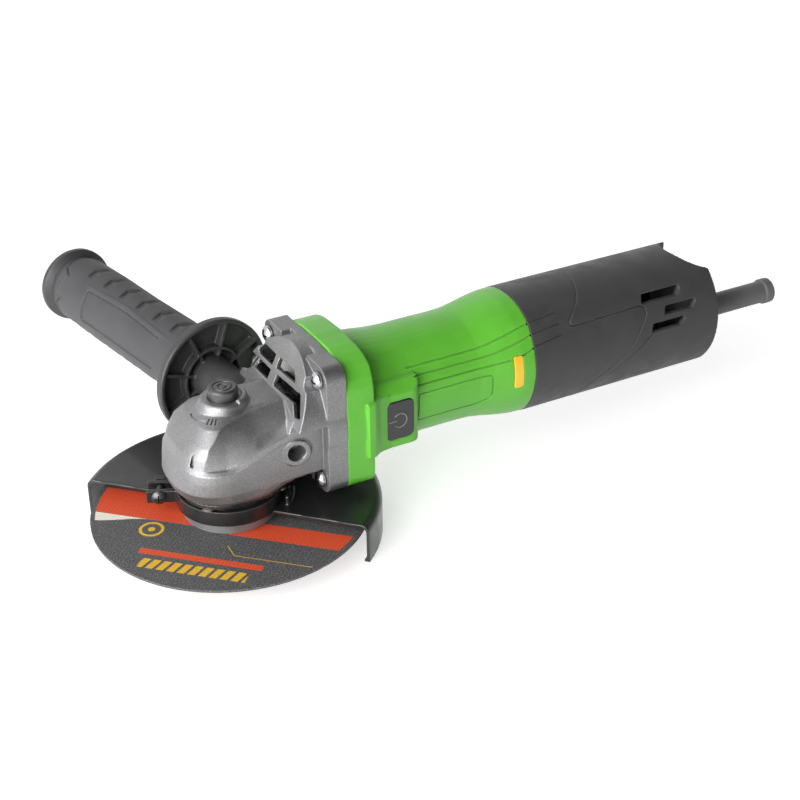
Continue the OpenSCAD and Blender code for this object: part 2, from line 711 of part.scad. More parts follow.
module lock_spring() {
    z0 = nose_top + 6 + 0.1;
    z1 = plateau_z + 1.3;
    wire = 0.45;
    turns = 3;
    steps = 16;
    ring_n = 6;
    n = turns * steps;
    coil_r = lock_button_d / 2 - 1.6;
    color("silver") loft([for (i = [0:n])
        let (a = i * 360 / steps, z = z0 + wire + (z1 - z0 - 2 * wire) * i / n)
        [for (j = [0:ring_n - 1])
            let (b = -j * 360 / ring_n, r = coil_r + wire * cos(b))
            [r * cos(a), r * sin(a), z + wire * sin(b)]]]);
}

// ---------- guard ----------
guard_tab_dir = -49;
guard_tab_span = 32;
module guard_shell() {
    corner = 4;
    color("#222222") {
        rotate(guard_tab_dir) rotate_extrude(angle = guard_tab_span)
            translate([collar_r + 3, guard_top - e]) square([guard_t, 4.5]);
        difference() {
        rotate_extrude() difference() {
            union() {
                translate([collar_r - e, collar_z]) square([guard_r - corner - collar_r + e, guard_t]);
                translate([guard_r - guard_t, -guard_drop])
                    square([guard_t, guard_drop + guard_top - corner]);
                translate([guard_r - guard_t - 1, -guard_drop]) square([guard_t + 1, 1.6]);
                translate([guard_r - corner, guard_top - corner]) intersection() {
                    difference() {
                        circle(r = corner);
                        circle(r = corner - guard_t);
                    }
                    square(corner);
                }
            }
            translate([0, -2 * guard_drop]) square([collar_r - e, 4 * guard_drop]);
        }
        rotate(guard_dir) translate([-2 * guard_r + guard_edge, -guard_r - 1, -guard_drop - 1])
            cube([2 * guard_r, 2 * guard_r + 2, 60]);
        }
    }
}
module guard_collar() {
    color("#1c1c1c") difference() {
        union() {
            translate([0, 0, collar_z]) cylinder(r = collar_r - 2 * e, h = collar_h);
            for (s = [-1, 1])
                rotate(lug_dir) translate([collar_r - 2, s > 0 ? lug_gap / 2 : -lug_gap / 2 - lug_t,
                    lug_z]) cube([lug_out - collar_r + 2, lug_t, lug_h]);
        }
        translate([0, 0, -5]) cylinder(r = neck_r + run + 0.01, h = 30);
        rotate(lug_dir) translate([neck_r - 4, -lug_gap / 2, 0]) cube([8, lug_gap, 30]);
        rotate(lug_dir) translate([lug_out - 5.5, 20, lug_screw_z]) rotate([90, 0, 0])
            cylinder(r = 2.1, h = 40);
    }
}
module clamp_screw() {
    color("#2a2a2a") rotate(lug_dir)
        translate([lug_out - 5.5, lug_gap / 2 + lug_t, lug_screw_z]) rotate([-90, 0, 0])
            machine_screw(2, 14, 3.1, 2.6);
}
module clamp_nut() {
    color("#2a2a2a") rotate(lug_dir)
        translate([lug_out - 5.5, -lug_gap / 2 - lug_t, lug_screw_z]) rotate([90, 0, 0])
            difference() {
                cylinder(r = 3.6, h = 3.2, $fn = 6);
                translate([0, 0, -e]) cylinder(r = 2.02, h = 4);
            }
}

// ---------- side handle ----------
module handle_stud() {
    color("silver") at_boss() {
        translate([0, 0, -stud_depth + 0.5]) cylinder(r = stud_r, h = stud_depth + 22);
    }
}
core_neck_r = 9;
module handle_core() {
    fr = handle_flange_d / 2;
    s = handle_flange_s;
    color("#303030") at_boss() difference() {
        union() {
            rotate_extrude() polygon([[0, handle_gap], [boss_r - 0.4, handle_gap],
                [boss_r, handle_gap + 0.6], [core_neck_r, 7], [core_neck_r + 1.6, s],
                [core_neck_r + 2, s + 5.4], [fr - 2.6, s + 5.4], [fr - 2, s],
                [fr - 0.6, s], [fr, s + 0.8], [fr, s + 4], [fr - 4, s + 7.4], [15, s + 8],
                [10, s + 8], [10, end_flange_s + 6], [0, end_flange_s + 6]]);
            for (a = [0:45:315])
                rotate(a + 20) translate([core_neck_r, -0.8, s + 1.2])
                    cube([fr - core_neck_r - 2.4, 1.6, 4.4]);
            translate([0, 0, s + 1]) ring(15.4, 14, 4.6);
            translate([0, 0, end_flange_s]) rotate_extrude() polygon([[0, 0],
                [handle_grip_d / 2 - 1.6, 0], [19.1, 2.6], [19.1, 5.4], [17.6, 7], [0, 7]]);
        }
        translate([0, 0, -e]) cylinder(r = stud_r + fit, h = 22.6);
    }
}
module handle_grip() {
    r = handle_grip_d / 2;
    color("#3a3a3a") at_boss() rotate_extrude() polygon([[10.02, grip_s + 0.02], [r - 2, grip_s + 0.02],
        [r - 0.4, grip_s + 5], [r, grip_s + 30], [r, end_flange_s - 40], [r - 0.6, end_flange_s - 12],
        [r - 1.6, end_flange_s - 0.02], [10.02, end_flange_s - 0.02]]);
}

// ---------- motor housing ----------
section_steps = 48;
function housing_r(x) = grip_r + (barrel_r - grip_r) * smooth((x - (housing_x - 32)) / 30)
    + 2 * smooth((bell_x + 24 - x) / 24);
function section_ring(x, r) = [for (i = [0:section_steps - 1])
    let (a = i * 360 / section_steps, p = barrel_polar(r, a))
    [x, -p * sin(a), axis_z + p * cos(a)]];
grip_stations = 13;
module housing_skin() {
    loft(concat(
        [section_ring(joint_x, bell_r), section_ring(bell_x - 3, bell_r),
         section_ring(bell_x - 1.2, bell_r - 0.7), section_ring(bell_x - 0.3, bell_r - 1.8),
         section_ring(bell_x, bell_r - 3), section_ring(bell_x + 0.4, housing_r(bell_x) + 0.6)],
        [for (i = [1:grip_stations])
            let (x = bell_x + 1.5 + (housing_x - bell_x - 1.5) * (i - 1) / (grip_stations - 1))
            section_ring(x, housing_r(x))]));
}
pod_len = 23.5;
pod_top = 14.5;
pod_low = -16.7;
pod_slope = 4.7;
pod_corner = 5;
// The raised seat of the power button: its top slopes out and down, its rear end is round.
module pod() {
    inside = pod_y + 11;
    square_len = pod_len - pod_corner + 3;
    intersection() {
        translate([bell_x - 2, 0, axis_z]) rotate([90, 0, 90]) linear_extrude(pod_len + 2)
            polygon([[inside, pod_top], [pod_y + pod_slope, pod_top],
                [pod_y, pod_top - pod_slope], [pod_y, pod_low], [inside, pod_low]]);
        translate([bell_x - 3, 0, axis_z + pod_low - 1]) linear_extrude(pod_top - pod_low + 2) {
            translate([0, pod_y]) square([square_len, -pod_y]);
            translate([square_len, pod_y + pod_corner]) circle(r = pod_corner);
            translate([square_len - e, pod_y + pod_corner]) square([pod_corner, 10]);
        }
    }
}
bell_bore_r = bell_r - 3.2;
spigot_len = 9;
module motor_housing() {
    grip_bore_end = housing_x - 16;
    color("limegreen") difference() {
        union() {
            housing_skin();
            along_x(joint_x) linear_extrude(bell_x - joint_x - 1.2) case_flange_2d();
            pod();
            barrel_x(housing_x - 12, 12 + spigot_len, inner_barrel_r - 0.2);
        }
        along_x(joint_x - 1) cylinder(r = bell_bore_r, h = baffle_x + 1.6 - joint_x + 1);
        along_x(joint_x) cylinder(r = 24, h = stator_x - 4 - joint_x);
        along_x(joint_x) cylinder(r = motor_bore_r, h = bearing_wall_x - joint_x);
        along_x(joint_x)
            cylinder(r = rear_bearing_d / 2 + fit, h = rear_bearing_x + rear_bearing_w + 0.02 - joint_x);
        along_x(joint_x) cylinder(r = 6, h = 90);
        for (a = [30:60:330])
            along_x(bearing_wall_x - 1) rotate(a) translate([13, -4.5, 0])
                cube([7, 9, bearing_wall_t + 2]);
        along_x(bearing_wall_x + bearing_wall_t) cylinder(r = rear_bore_r, h = 60);
        along_x(grip_bore_end) cylinder(r1 = rear_bore_r, r2 = throat_r, h = 6);
        along_x(grip_bore_end + 6 - e) cylinder(r = throat_r, h = 40);
        case_screws_at(joint_x - 1) cylinder(r = 2.15, h = 13);
        side_block(button_x, button_z, button_w + 0.6, button_h + 0.6, 2.6, switch_y, pod_y - 2);
        side_block(lens_x, axis_z + 2.7, 4.6, 15.6, 1, -20, -40);
    }
}
module status_lens() {
    color("orange") intersection() {
        side_block(lens_x, axis_z + 2.7, 4.4, 15.4, 0.9, -24, -40);
        barrel_x(lens_x - 5, 10, housing_r(lens_x) + 0.15);
    }
}
module power_button() {
    color("#2b2b2b") {
        side_block(button_x, button_z, button_w, button_h, 2.3, button_back_y, pod_y - 0.5);
        translate([button_x, button_back_y - e, button_z]) rotate([-90, 0, 0])
            cylinder(r = 2.5, h = 1.09);
    }
}
module button_switch() {
    color("#4a4a4a") difference() {
        side_block(button_x, button_z, 12, 12, 1, switch_y - 0.05, switch_y - 1.3);
        translate([button_x, switch_y + 1, button_z]) rotate([90, 0, 0])
            cylinder(r = 2, h = 5);
    }
}
module button_plunger() {
    color("#999999") translate([button_x, switch_y - 2.48, button_z]) rotate([-90, 0, 0])
        cylinder(r = 1.8, h = 1.2);
}

// ---------- motor ----------
module fan() {
    plate = 1.6;
    color("#f0f0f0") along_x(fan_x) {
        difference() {
            union() {
                cylinder(r = fan_d / 2, h = plate);
                cylinder(r = 9, h = fan_len);
                for (i = [0:fan_blades - 1])
                    rotate(i * 360 / fan_blades) translate([0, 0, plate - e])
                        linear_extrude(fan_len - plate) fan_blade_2d();
            }
            translate([0, 0, -1]) cylinder(r = shaft_d / 2 + fit, h = fan_len + 2);
        }
    }
}
module fan_blade_2d() {
    bow = fan_d * 0.36;
    intersection() {
        translate([0, bow + 0.6]) difference() {
            circle(r = bow + 0.6);
            circle(r = bow - 0.6);
        }
        difference() {
            circle(r = fan_d / 2 - 0.2);
            circle(r = 12.5);
        }
        square([fan_d, fan_d * 0.36 + 1]);
    }
}
module air_baffle() { color("#202020") tube_x(baffle_x, bell_bore_r - fit, 17, 1.6 - 0.04); }
module pinion() {
    hub_r = 5.2;
    color("dimgray") difference() {
        translate([0, 0, axis_z]) rotate([0, 90, 0]) loft([
            flat_ring(pinion_pitch_r, pinion_teeth, pinion_cone, 0, 3, pinion_front_x),
            tooth_ring(pinion_pitch_r, pinion_teeth, pinion_cone, 0, cone_inner),
            tooth_ring(pinion_pitch_r, pinion_teeth, pinion_cone, 0, 1),
            flat_ring(pinion_pitch_r, pinion_teeth, pinion_cone, 0, hub_r, pinion_back_x),
            flat_ring(pinion_pitch_r, pinion_teeth, pinion_cone, 0, hub_r,
                front_bearing_x - e)]);
        along_x(0) cylinder(r = 2.5 + fit, h = 40);
    }
}
module pinion_nut() {
    color("silver") along_x(pinion_nose_x + 0.4) difference() {
        cylinder(r = 4.5, h = pinion_front_x - pinion_nose_x - 0.5, $fn = 6);
        translate([0, 0, -1]) cylinder(r = 2.5 + fit, h = 10);
    }
}
module rotor_shaft() {
    color("silver") {
        along_x(pinion_nose_x) cylinder(r = 2.5, h = front_bearing_x - pinion_nose_x + e);
        along_x(front_bearing_x) cylinder(r = shaft_d / 2, h = rear_bearing_x - 1 - front_bearing_x);
        along_x(rear_bearing_x - 1 - e)
            cylinder(r = rear_shaft_d / 2, h = shaft_end_x - rear_bearing_x + 1);
    }
}
module rotor_core() {
    color("slategray") tube_x(rotor_x, rotor_d / 2 - 2.6, shaft_d / 2 + fit, rotor_len);
}
module rotor_magnets() {
    poles = 4;
    color("#555560") for (i = [0:poles - 1])
        along_x(rotor_x + 0.5) rotate(i * 360 / poles) rotate_extrude(angle = 360 / poles - 6)
            translate([rotor_d / 2 - 2.58, 0]) square([2.56, rotor_len - 1]);
}
module front_bearing_outer() {
    color("lightsteelblue") along_x(front_bearing_x)
        bearing_outer(front_bearing_d, shaft_d, front_bearing_w);
}
module front_bearing_inner() {
    color("lightsteelblue") along_x(front_bearing_x)
        bearing_inner(front_bearing_d, shaft_d, front_bearing_w);
}
module rear_bearing_outer() {
    color("lightsteelblue") along_x(rear_bearing_x)
        bearing_outer(rear_bearing_d, rear_shaft_d, rear_bearing_w);
}
module rear_bearing_inner() {
    color("lightsteelblue") along_x(rear_bearing_x)
        bearing_inner(rear_bearing_d, rear_shaft_d, rear_bearing_w);
}
stator_bore_r = rotor_d / 2 + 0.6;
yoke_r = stator_d * 0.418;
tooth_w = stator_d * 0.0955;
shoe_t = 1.3;
module stator_core() {
    pitch = 360 / stator_slots;
    shoe_w = 2 * stator_bore_r * tan(pitch / 2) * 0.78;
    color("gray") along_x(stator_x) linear_extrude(stator_len) {
        difference() {
            circle(r = stator_d / 2);
            circle(r = yoke_r);
        }
        difference() {
            for (i = [0:stator_slots - 1])
                rotate(i * pitch) {
                    translate([stator_bore_r - 2, -tooth_w / 2])
                        square([yoke_r - stator_bore_r + 2.4, tooth_w]);
                    translate([stator_bore_r - 2, -shoe_w / 2]) square([2 + shoe_t, shoe_w]);
                }
            circle(r = stator_bore_r);
        }
    }
}
module stator_windings() {
    pitch = 360 / stator_slots;
    inner = stator_bore_r + shoe_t + 0.3;
    outer = yoke_r - 0.6;
    side = (inner * tan(pitch / 2) - tooth_w / 2) * 0.8;
    color("chocolate") for (i = [0:stator_slots - 1])
        along_x(stator_x) rotate(i * pitch) difference() {
            translate([inner, -tooth_w / 2 - side, -coil_over + 0.6])
                cube([outer - inner, tooth_w + 2 * side, stator_len + 2 * coil_over - 1.2]);
            translate([inner - 1, -tooth_w / 2 - 0.15, -0.3])
                cube([outer - inner + 2, tooth_w + 0.3, stator_len + 0.6]);
        }
}
module stator_insulators() {
    color("ivory") {
        tube_x(stator_x - 2.5, stator_d / 2 - 0.4, yoke_r, 2.45);
        tube_x(stator_x + stator_len + 0.05, stator_d / 2 - 0.4, yoke_r, 2.45);
    }
}
module sensor_board() {
    color("darkgreen")
        tube_x(stator_x + stator_len + coil_over, motor_bore_r - 0.2, rotor_d / 2 - 3, board_t);
}

// ---------- rear housing and electronics ----------
// Side outline of the parting line, from the top down: [x from the spindle, z from the axis].
// The third number says which way the rear piece steps back from the line.
seam = [[36, 31, 0], [35.5, 30, 0], [28.5, 25, 0], [21.5, 19.2, 0], [20.9, 17.6, 0], [22.4, 16.6, 1],
    [60.5, 17.5, 1], [63, 16.4, 1], [63.2, 13.6, 0], [54.5, 0.5, 0], [44.5, -8, 0], [35.5, -15, 0],
    [29, -21.5, 0], [22.5, -29, 0], [22, -31, 0]];
seam_scale = barrel_r / 30.3;
function seam_points(shift) =
    [for (p = seam) [housing_x + p[0] + shift, p[1] * seam_scale + shift * p[2]]];
module seam_side(front, shift) {
    far = front ? housing_x - 5 : tail_x + 5;
    translate([0, barrel_r + 2, axis_z]) rotate([90, 0, 0]) linear_extrude(2 * barrel_r + 4)
        polygon(concat([[far, seam[0][1] * seam_scale]], seam_points(shift),
            [[far, -seam[0][1] * seam_scale]]));
}
module cover_screws_at() {
    for (s = [-1, 1], x = [housing_x + 16, housing_x + 64])
        translate([x, 0, axis_z]) rotate([s * 28, 0, 0]) translate([0, 0, -barrel_r]) children();
}
module rear_shell() {
    difference() {
        barrel_x(housing_x, tail_x - housing_x, barrel_r);
        difference() {
            barrel_x(housing_x - 1, tail_x - shell_wall - housing_x + 1, barrel_r - shell_wall);
            translate([scoop_x + scoop_r, 0, 0]) cylinder(r = scoop_r + shell_wall, h = 100);
        }
        translate([scoop_x + scoop_r, 0, 0]) cylinder(r = scoop_r, h = 100);
        translate([scoop_x - 10, 0, axis_z - relief_drop]) rotate([0, 90, 0])
            cylinder(r = relief_d / 2 + 0.02, h = 20);
        rear_vents();
        cover_screws_at() cylinder(r = 1.9, h = 6);
        cover_screws_at() translate([0, 0, -1]) cylinder(r = 3.4, h = 3);
    }
}
module rear_vents() {
    for (side = [-1, 1], v = [[-31.5, 19.6, 23], [-22.3, 12.7, 18.5], [-29.8, 6.3, 19.5]])
        translate([tail_x + v[0], 0, axis_z + v[1]]) mirror([0, side > 0 ? 1 : 0, 0])
            rotate([90, 0, 0]) linear_extrude(barrel_r + 5)
                polygon([[-v[2] / 2, -1.9], [v[2] / 2 - 2.6, -1.9], [v[2] / 2, 0.4], [v[2] / 2, 1.9],
                    [-v[2] / 2 + 1.2, 1.9]]);
}
module rear_sleeve() {
    color("#333333") intersection() {
        rear_shell();
        seam_side(true, 0);
    }
}
module rear_cap() {
    color("#303030") intersection() {
        rear_shell();
        seam_side(false, sheet_gap);
    }
}
tray_r = side_mid(barrel_r - shell_wall) - 0.25;
tray_t = 1.8;
tray_x = housing_x + 10;
tray_len = barrel_r * 2.574;
tray_drop = 8;
board_t = 1.6;
board_len = barrel_r * 1.914;
board_w = barrel_r * 1.32;
board_z = axis_z - tray_drop - 1;
part_z = board_z + board_t + 0.02;
clamp_x = tray_x + 69;
clamp_pitch = 15;
clamp_w = 21;
clamp_len = 8;
module electronics_tray() {
    ledge = 5;
    color("#404040") difference() {
        union() {
            intersection() {
                tube_x(tray_x, tray_r, tray_r - tray_t, tray_len);
                translate([tray_x - 1, -tray_r - 1, axis_z - tray_r - 1])
                    cube([tray_len + 2, 2 * tray_r + 2, tray_r + 1 - tray_drop - 1]);
            }
            intersection() {
                along_x(tray_x) cylinder(r = tray_r - e, h = tray_len);
                for (x = [tray_x + 2, tray_x + board_len - ledge - 1])
                    translate([x, -tray_r, axis_z - tray_r])
                        cube([ledge, 2 * tray_r, tray_r - tray_drop - 1]);
            }
            intersection() {
                along_x(tray_x) cylinder(r = tray_r - e, h = tray_len);
                translate([clamp_x - clamp_len / 2 - 1, -clamp_w / 2 - 0.5, axis_z - tray_r])
                    cube([clamp_len + 2, clamp_w + 1, tray_r - relief_drop - 3.9]);
            }
        }
        cover_screws_at() cylinder(r = 1.55, h = 9);
        for (s = [-1, 1])
            translate([clamp_x, s * clamp_pitch / 2, axis_z - relief_drop - 12])
                cylinder(r = 1.3, h = 12);
    }
}
module control_board() {
    color("darkgreen") translate([tray_x + 1, -board_w / 2, board_z])
        cube([board_len, board_w, board_t]);
}
module heat_sink() {
    fins = 7;
    base_t = 3;
    sink_len = board_len * 0.517;
    sink_w = board_w * 0.8;
    fin_t = 1.4;
    color("lightgray") translate([tray_x + 3, -sink_w / 2, part_z + 2.78]) {
        cube([sink_len, sink_w, base_t]);
        for (i = [0:fins - 1])
            translate([0, i * (sink_w - fin_t) / (fins - 1), base_t - e])
                cube([sink_len, fin_t, sink_w * 0.31]);
    }
}
module power_transistors() {
    color("#202020") for (i = [0:2], s = [-1, 1])
        translate([tray_x + 5 + i * 9.5, s * 8 - 4, part_z]) cube([7, 8, 2.76]);
}
module capacitor() {
    can_r = barrel_r * 0.3135;
    color("midnightblue") translate([tray_x + board_len * 0.62, 0, part_z + can_r])
        rotate([0, 90, 0]) cylinder(r = can_r, h = can_r * 2.2);
}
module rear_cover_screws() {
    color("#2a2a2a") cover_screws_at()
        translate([0, 0, 1.98]) rotate([180, 0, 0]) machine_screw(1.5, 7, 3, 1.9);
}
module strain_relief() {
    inner_x = scoop_x - shell_wall - 4.4;
    end_x = tail_x + relief_len;
    color("#242424") translate([0, 0, axis_z - relief_drop]) rotate([0, 90, 0]) difference() {
        union() {
            translate([0, 0, inner_x]) cylinder(r = relief_d / 2 + 2.4, h = 3);
            translate([0, 0, inner_x]) cylinder(r = relief_d / 2, h = end_x - inner_x);
            translate([0, 0, end_x - 4.6]) cylinder(r = relief_d / 2 + 0.8, h = 4.6);
        }
        translate([0, 0, inner_x - 1]) cylinder(r = relief_bore_d / 2, h = end_x - inner_x + 2);
    }
}
module cord_clamp() {
    color("#505050") difference() {
        translate([clamp_x - clamp_len / 2, -clamp_w / 2, axis_z - relief_drop - 3.85])
            cube([clamp_len, clamp_w, 7]);
        translate([clamp_x - clamp_len, 0, axis_z - relief_drop]) rotate([0, 90, 0])
            cylinder(r = relief_bore_d / 2, h = 2 * clamp_len);
        for (s = [-1, 1])
            translate([clamp_x, s * clamp_pitch / 2, axis_z - relief_drop - 6])
                cylinder(r = 1.6, h = 12);
    }
}
module clamp_screws() {
    color("silver") for (s = [-1, 1])
        translate([clamp_x, s * clamp_pitch / 2, axis_z - relief_drop + 3.2])
            machine_screw(1.25, 12, 2.6, 1.8);
}

gear_case();
gear_case_screws();
lock_button();
lock_pin();
lock_spring();
spindle();
crown_gear();
gear_circlip();
spindle_bush();
spindle_bearing_outer();
spindle_bearing_inner();
bearing_retainer();
retainer_screws();
dust_seal();
inner_flange();
cutting_disc();
lock_nut();
guard_shell();
guard_collar();
clamp_screw();
clamp_nut();
handle_stud();
handle_core();
handle_grip();
motor_housing();
fan();
air_baffle();
pinion();
pinion_nut();
rotor_shaft();
rotor_core();
rotor_magnets();
front_bearing_outer();
front_bearing_inner();
rear_bearing_outer();
rear_bearing_inner();
stator_core();
stator_windings();
stator_insulators();
sensor_board();
rear_sleeve();
rear_cap();
rear_cover_screws();
electronics_tray();
control_board();
heat_sink();
capacitor();
power_transistors();
power_button();
button_switch();
button_plunger();
status_lens();
strain_relief();
cord_clamp();
clamp_screws();
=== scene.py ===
"""Looks of the angle grinder: finishes, refined shells and small surface detail.

Everything is in metres, in the CAD model's own frame: the origin is on the spindle axis at the
disc seat, +X runs back along the motor, +Y points to the side handle and +Z up. Values that shape
a piece are in millimetres and degrees, and the functions turn them into metres. The camera, the
textures and the lights are in metres, and so is any other value that says so.
"""

import json
import math

import bmesh
import bpy
import numpy as np
from mathutils import Matrix, Vector
from mathutils.bvhtree import BVHTree


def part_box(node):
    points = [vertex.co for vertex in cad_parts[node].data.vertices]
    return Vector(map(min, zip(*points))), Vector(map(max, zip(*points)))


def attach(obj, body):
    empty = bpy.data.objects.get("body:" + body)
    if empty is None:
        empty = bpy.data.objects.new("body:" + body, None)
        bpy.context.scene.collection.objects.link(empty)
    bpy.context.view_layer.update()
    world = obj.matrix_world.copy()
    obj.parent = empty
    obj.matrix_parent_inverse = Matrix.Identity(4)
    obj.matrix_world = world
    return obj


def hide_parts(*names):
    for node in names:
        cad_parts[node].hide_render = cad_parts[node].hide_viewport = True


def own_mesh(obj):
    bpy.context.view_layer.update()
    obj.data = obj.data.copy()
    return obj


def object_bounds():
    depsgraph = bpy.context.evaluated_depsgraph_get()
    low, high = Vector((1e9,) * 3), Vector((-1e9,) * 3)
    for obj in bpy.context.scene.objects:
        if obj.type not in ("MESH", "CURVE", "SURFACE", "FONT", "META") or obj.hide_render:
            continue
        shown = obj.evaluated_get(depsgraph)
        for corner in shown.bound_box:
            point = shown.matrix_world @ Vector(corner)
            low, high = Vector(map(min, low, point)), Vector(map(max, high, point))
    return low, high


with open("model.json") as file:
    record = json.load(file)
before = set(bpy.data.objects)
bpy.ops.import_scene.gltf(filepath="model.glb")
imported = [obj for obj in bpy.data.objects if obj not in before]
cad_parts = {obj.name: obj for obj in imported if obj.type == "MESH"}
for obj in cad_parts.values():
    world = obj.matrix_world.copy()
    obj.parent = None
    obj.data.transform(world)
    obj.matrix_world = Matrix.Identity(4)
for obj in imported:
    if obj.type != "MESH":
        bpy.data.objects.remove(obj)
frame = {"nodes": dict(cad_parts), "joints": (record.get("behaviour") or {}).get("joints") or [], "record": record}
cad_box = [list(corner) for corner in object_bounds()]
nodes = frame["nodes"]
record = frame["record"]
MM = 0.001

BODY_OF = {node: body for body, held in record["behaviour"]["bodies"].items() for node in held}
SLOT_OF = {part["node"]: part["material_slot"] for part in record["subparts"]}
JOINTS = {joint["name"]: joint for joint in frame["joints"]}
AXIS_Z = JOINTS["rotor_spin"]["pos_m"][2]
SIDES = (-1, 1)
HOOD_FOOT = 18.5        # where the gear case's hood starts on the motor axis
HOOD_LEAN = 25.17       # how far its slotted face leans back
HOOD_FACE = HOOD_FOOT * math.cos(math.radians(HOOD_LEAN))   # from where the axes cross, square to it
HOOD_INNER = 29.4       # radius inside it


# ---------- camera ----------
CAMERA_AZIMUTH = -28.5          # degrees; 0 looks along +Y
CAMERA_ELEVATION = 29.8
CAMERA_ROLL = -0.6
CAMERA_DISTANCE = 0.7187        # from the origin, along the line of sight
CAMERA_ASIDE = (-0.0758, -0.0491)   # where the origin lies right of and above the sight line
CAMERA_RISE = -0.0012
LENS = 72.0
SENSOR = 36.0


def make_camera():
    azimuth = math.radians(CAMERA_AZIMUTH)
    elevation = math.radians(CAMERA_ELEVATION)
    roll = math.radians(CAMERA_ROLL)
    back = Vector((math.sin(azimuth) * math.cos(elevation), -math.cos(azimuth) * math.cos(elevation),
                   math.sin(elevation)))
    level = Vector((math.cos(azimuth), math.sin(azimuth), 0))
    upright = back.cross(level)
    right = level * math.cos(roll) + upright * math.sin(roll)
    up = upright * math.cos(roll) - level * math.sin(roll)
    place = back * CAMERA_DISTANCE - right * CAMERA_ASIDE[0] - up * CAMERA_ASIDE[1]
    place.z += CAMERA_RISE
    data = bpy.data.cameras.new("camera")
    data.lens = LENS
    data.sensor_width = SENSOR
    camera = bpy.data.objects.new("camera", data)
    turn = Matrix((right, up, back)).transposed().to_4x4()
    camera.matrix_world = Matrix.Translation(place) @ turn
    bpy.context.scene.collection.objects.link(camera)
    bpy.context.scene.camera = camera


make_camera()


# ---------- materials ----------
def grey(level):
    return level, level, level


def scaled(color, share):
    """A darker or lighter colour."""
    return tuple(min(1.0, channel * share) for channel in color)


class Paint:
    """A node material, built step by step. A step returns the socket that holds its result."""

    def __init__(self, name, rough, metal=0.0, coat=0.0, specular=0.5):
        self.material = bpy.data.materials.new(name)
        self.material.use_nodes = True
        self.tree = self.material.node_tree
        self.shader = self.tree.nodes["Principled BSDF"]
        self.place = self.node("TexCoord").outputs["Object"]
        self.height = None
        for socket, value in (("Roughness", rough), ("Metallic", metal), ("Coat Weight", coat),
                              ("Coat Roughness", 0.1), ("Specular IOR Level", specular)):
            self.shader.inputs[socket].default_value = value

    def node(self, kind, **settings):
        made = self.tree.nodes.new("ShaderNode" + kind)
        for name, value in settings.items():
            setattr(made, name, value)
        return made

    def feed(self, socket, value):
        """Puts a number, a colour or another node's result into a socket."""
        if isinstance(value, bpy.types.NodeSocket):
            self.tree.links.new(value, socket)
        elif isinstance(value, tuple) and len(socket.default_value) == 4:
            socket.default_value = (*value, 1)
        else:
            socket.default_value = value

    def math(self, operation, first, second=0.0):
        made = self.node("Math", operation=operation)
        for socket, value in zip(made.inputs, (first, second)):
            self.feed(socket, value)
        return made.outputs[0]

    def product(self, *values):
        result = values[0]
        for value in values[1:]:
            result = self.math("MULTIPLY", result, value)
        return result

    def spread(self, value, start, end, to_start=0.0, to_end=1.0):
        """The value's stretch from start to end, spread over to_start to to_end."""
        made = self.node("MapRange", interpolation_type="SMOOTHSTEP")
        for socket, number in zip(made.inputs, (value, start, end, to_start, to_end)):
            self.feed(socket, number)
        return made.outputs[0]

    def noise(self, size, detail=2.0, stretch=(1, 1, 1)):
        mapping = self.node("Mapping")
        self.feed(mapping.inputs["Vector"], self.place)
        mapping.inputs["Scale"].default_value = stretch
        made = self.node("TexNoise")
        self.feed(made.inputs["Vector"], mapping.outputs[0])
        made.inputs["Scale"].default_value = 1 / size
        made.inputs["Detail"].default_value = detail
        return made.outputs["Fac"]

    def cells(self, size):
        made = self.node("TexVoronoi")
        self.feed(made.inputs["Vector"], self.place)
        made.inputs["Scale"].default_value = 1 / size
        return made.outputs["Distance"]

    def axes(self):
        made = self.node("SeparateXYZ")
        self.feed(made.inputs[0], self.place)
        return made.outputs

    def mix(self, share, first, second):
        made = self.node("Mix", data_type="RGBA")
        self.feed(made.inputs["Factor"], share)
        self.feed(made.inputs[6], first)
        self.feed(made.inputs[7], second)
        return made.outputs[2]

    def edges(self, width):
        """1 on an outer or inner edge of that width, 0 on flat or gently bent ground."""
        bevel = self.node("Bevel", samples=4)
        bevel.inputs["Radius"].default_value = width
        plain = self.node("NewGeometry").outputs["Normal"]
        dot = self.node("VectorMath", operation="DOT_PRODUCT")
        self.feed(dot.inputs[0], bevel.outputs[0])
        self.feed(dot.inputs[1], plain)
        return self.spread(dot.outputs["Value"], 0.995, 0.9)

    def crevice(self, width):
        """1 at the bottom of a groove or joint about that wide, 0 on open ground."""
        shade = self.node("AmbientOcclusion", samples=6, only_local=True)
        shade.inputs["Distance"].default_value = width
        return self.spread(shade.outputs["AO"], 0.85, 0.45)

    def bump(self, height, depth):
        """Adds relief of that depth in metres over the relief so far."""
        made = self.node("Bump")
        made.inputs["Strength"].default_value = 1.0
        made.inputs["Distance"].default_value = depth
        self.feed(made.inputs["Height"], height)
        if self.height is not None:
            self.feed(made.inputs["Normal"], self.height)
        self.height = made.outputs[0]

    def done(self, color, rough=None):
        self.feed(self.shader.inputs["Base Color"], color)
        if rough is not None:
            self.feed(self.shader.inputs["Roughness"], rough)
        if self.height is not None:
            self.feed(self.shader.inputs["Normal"], self.height)
        return self.material


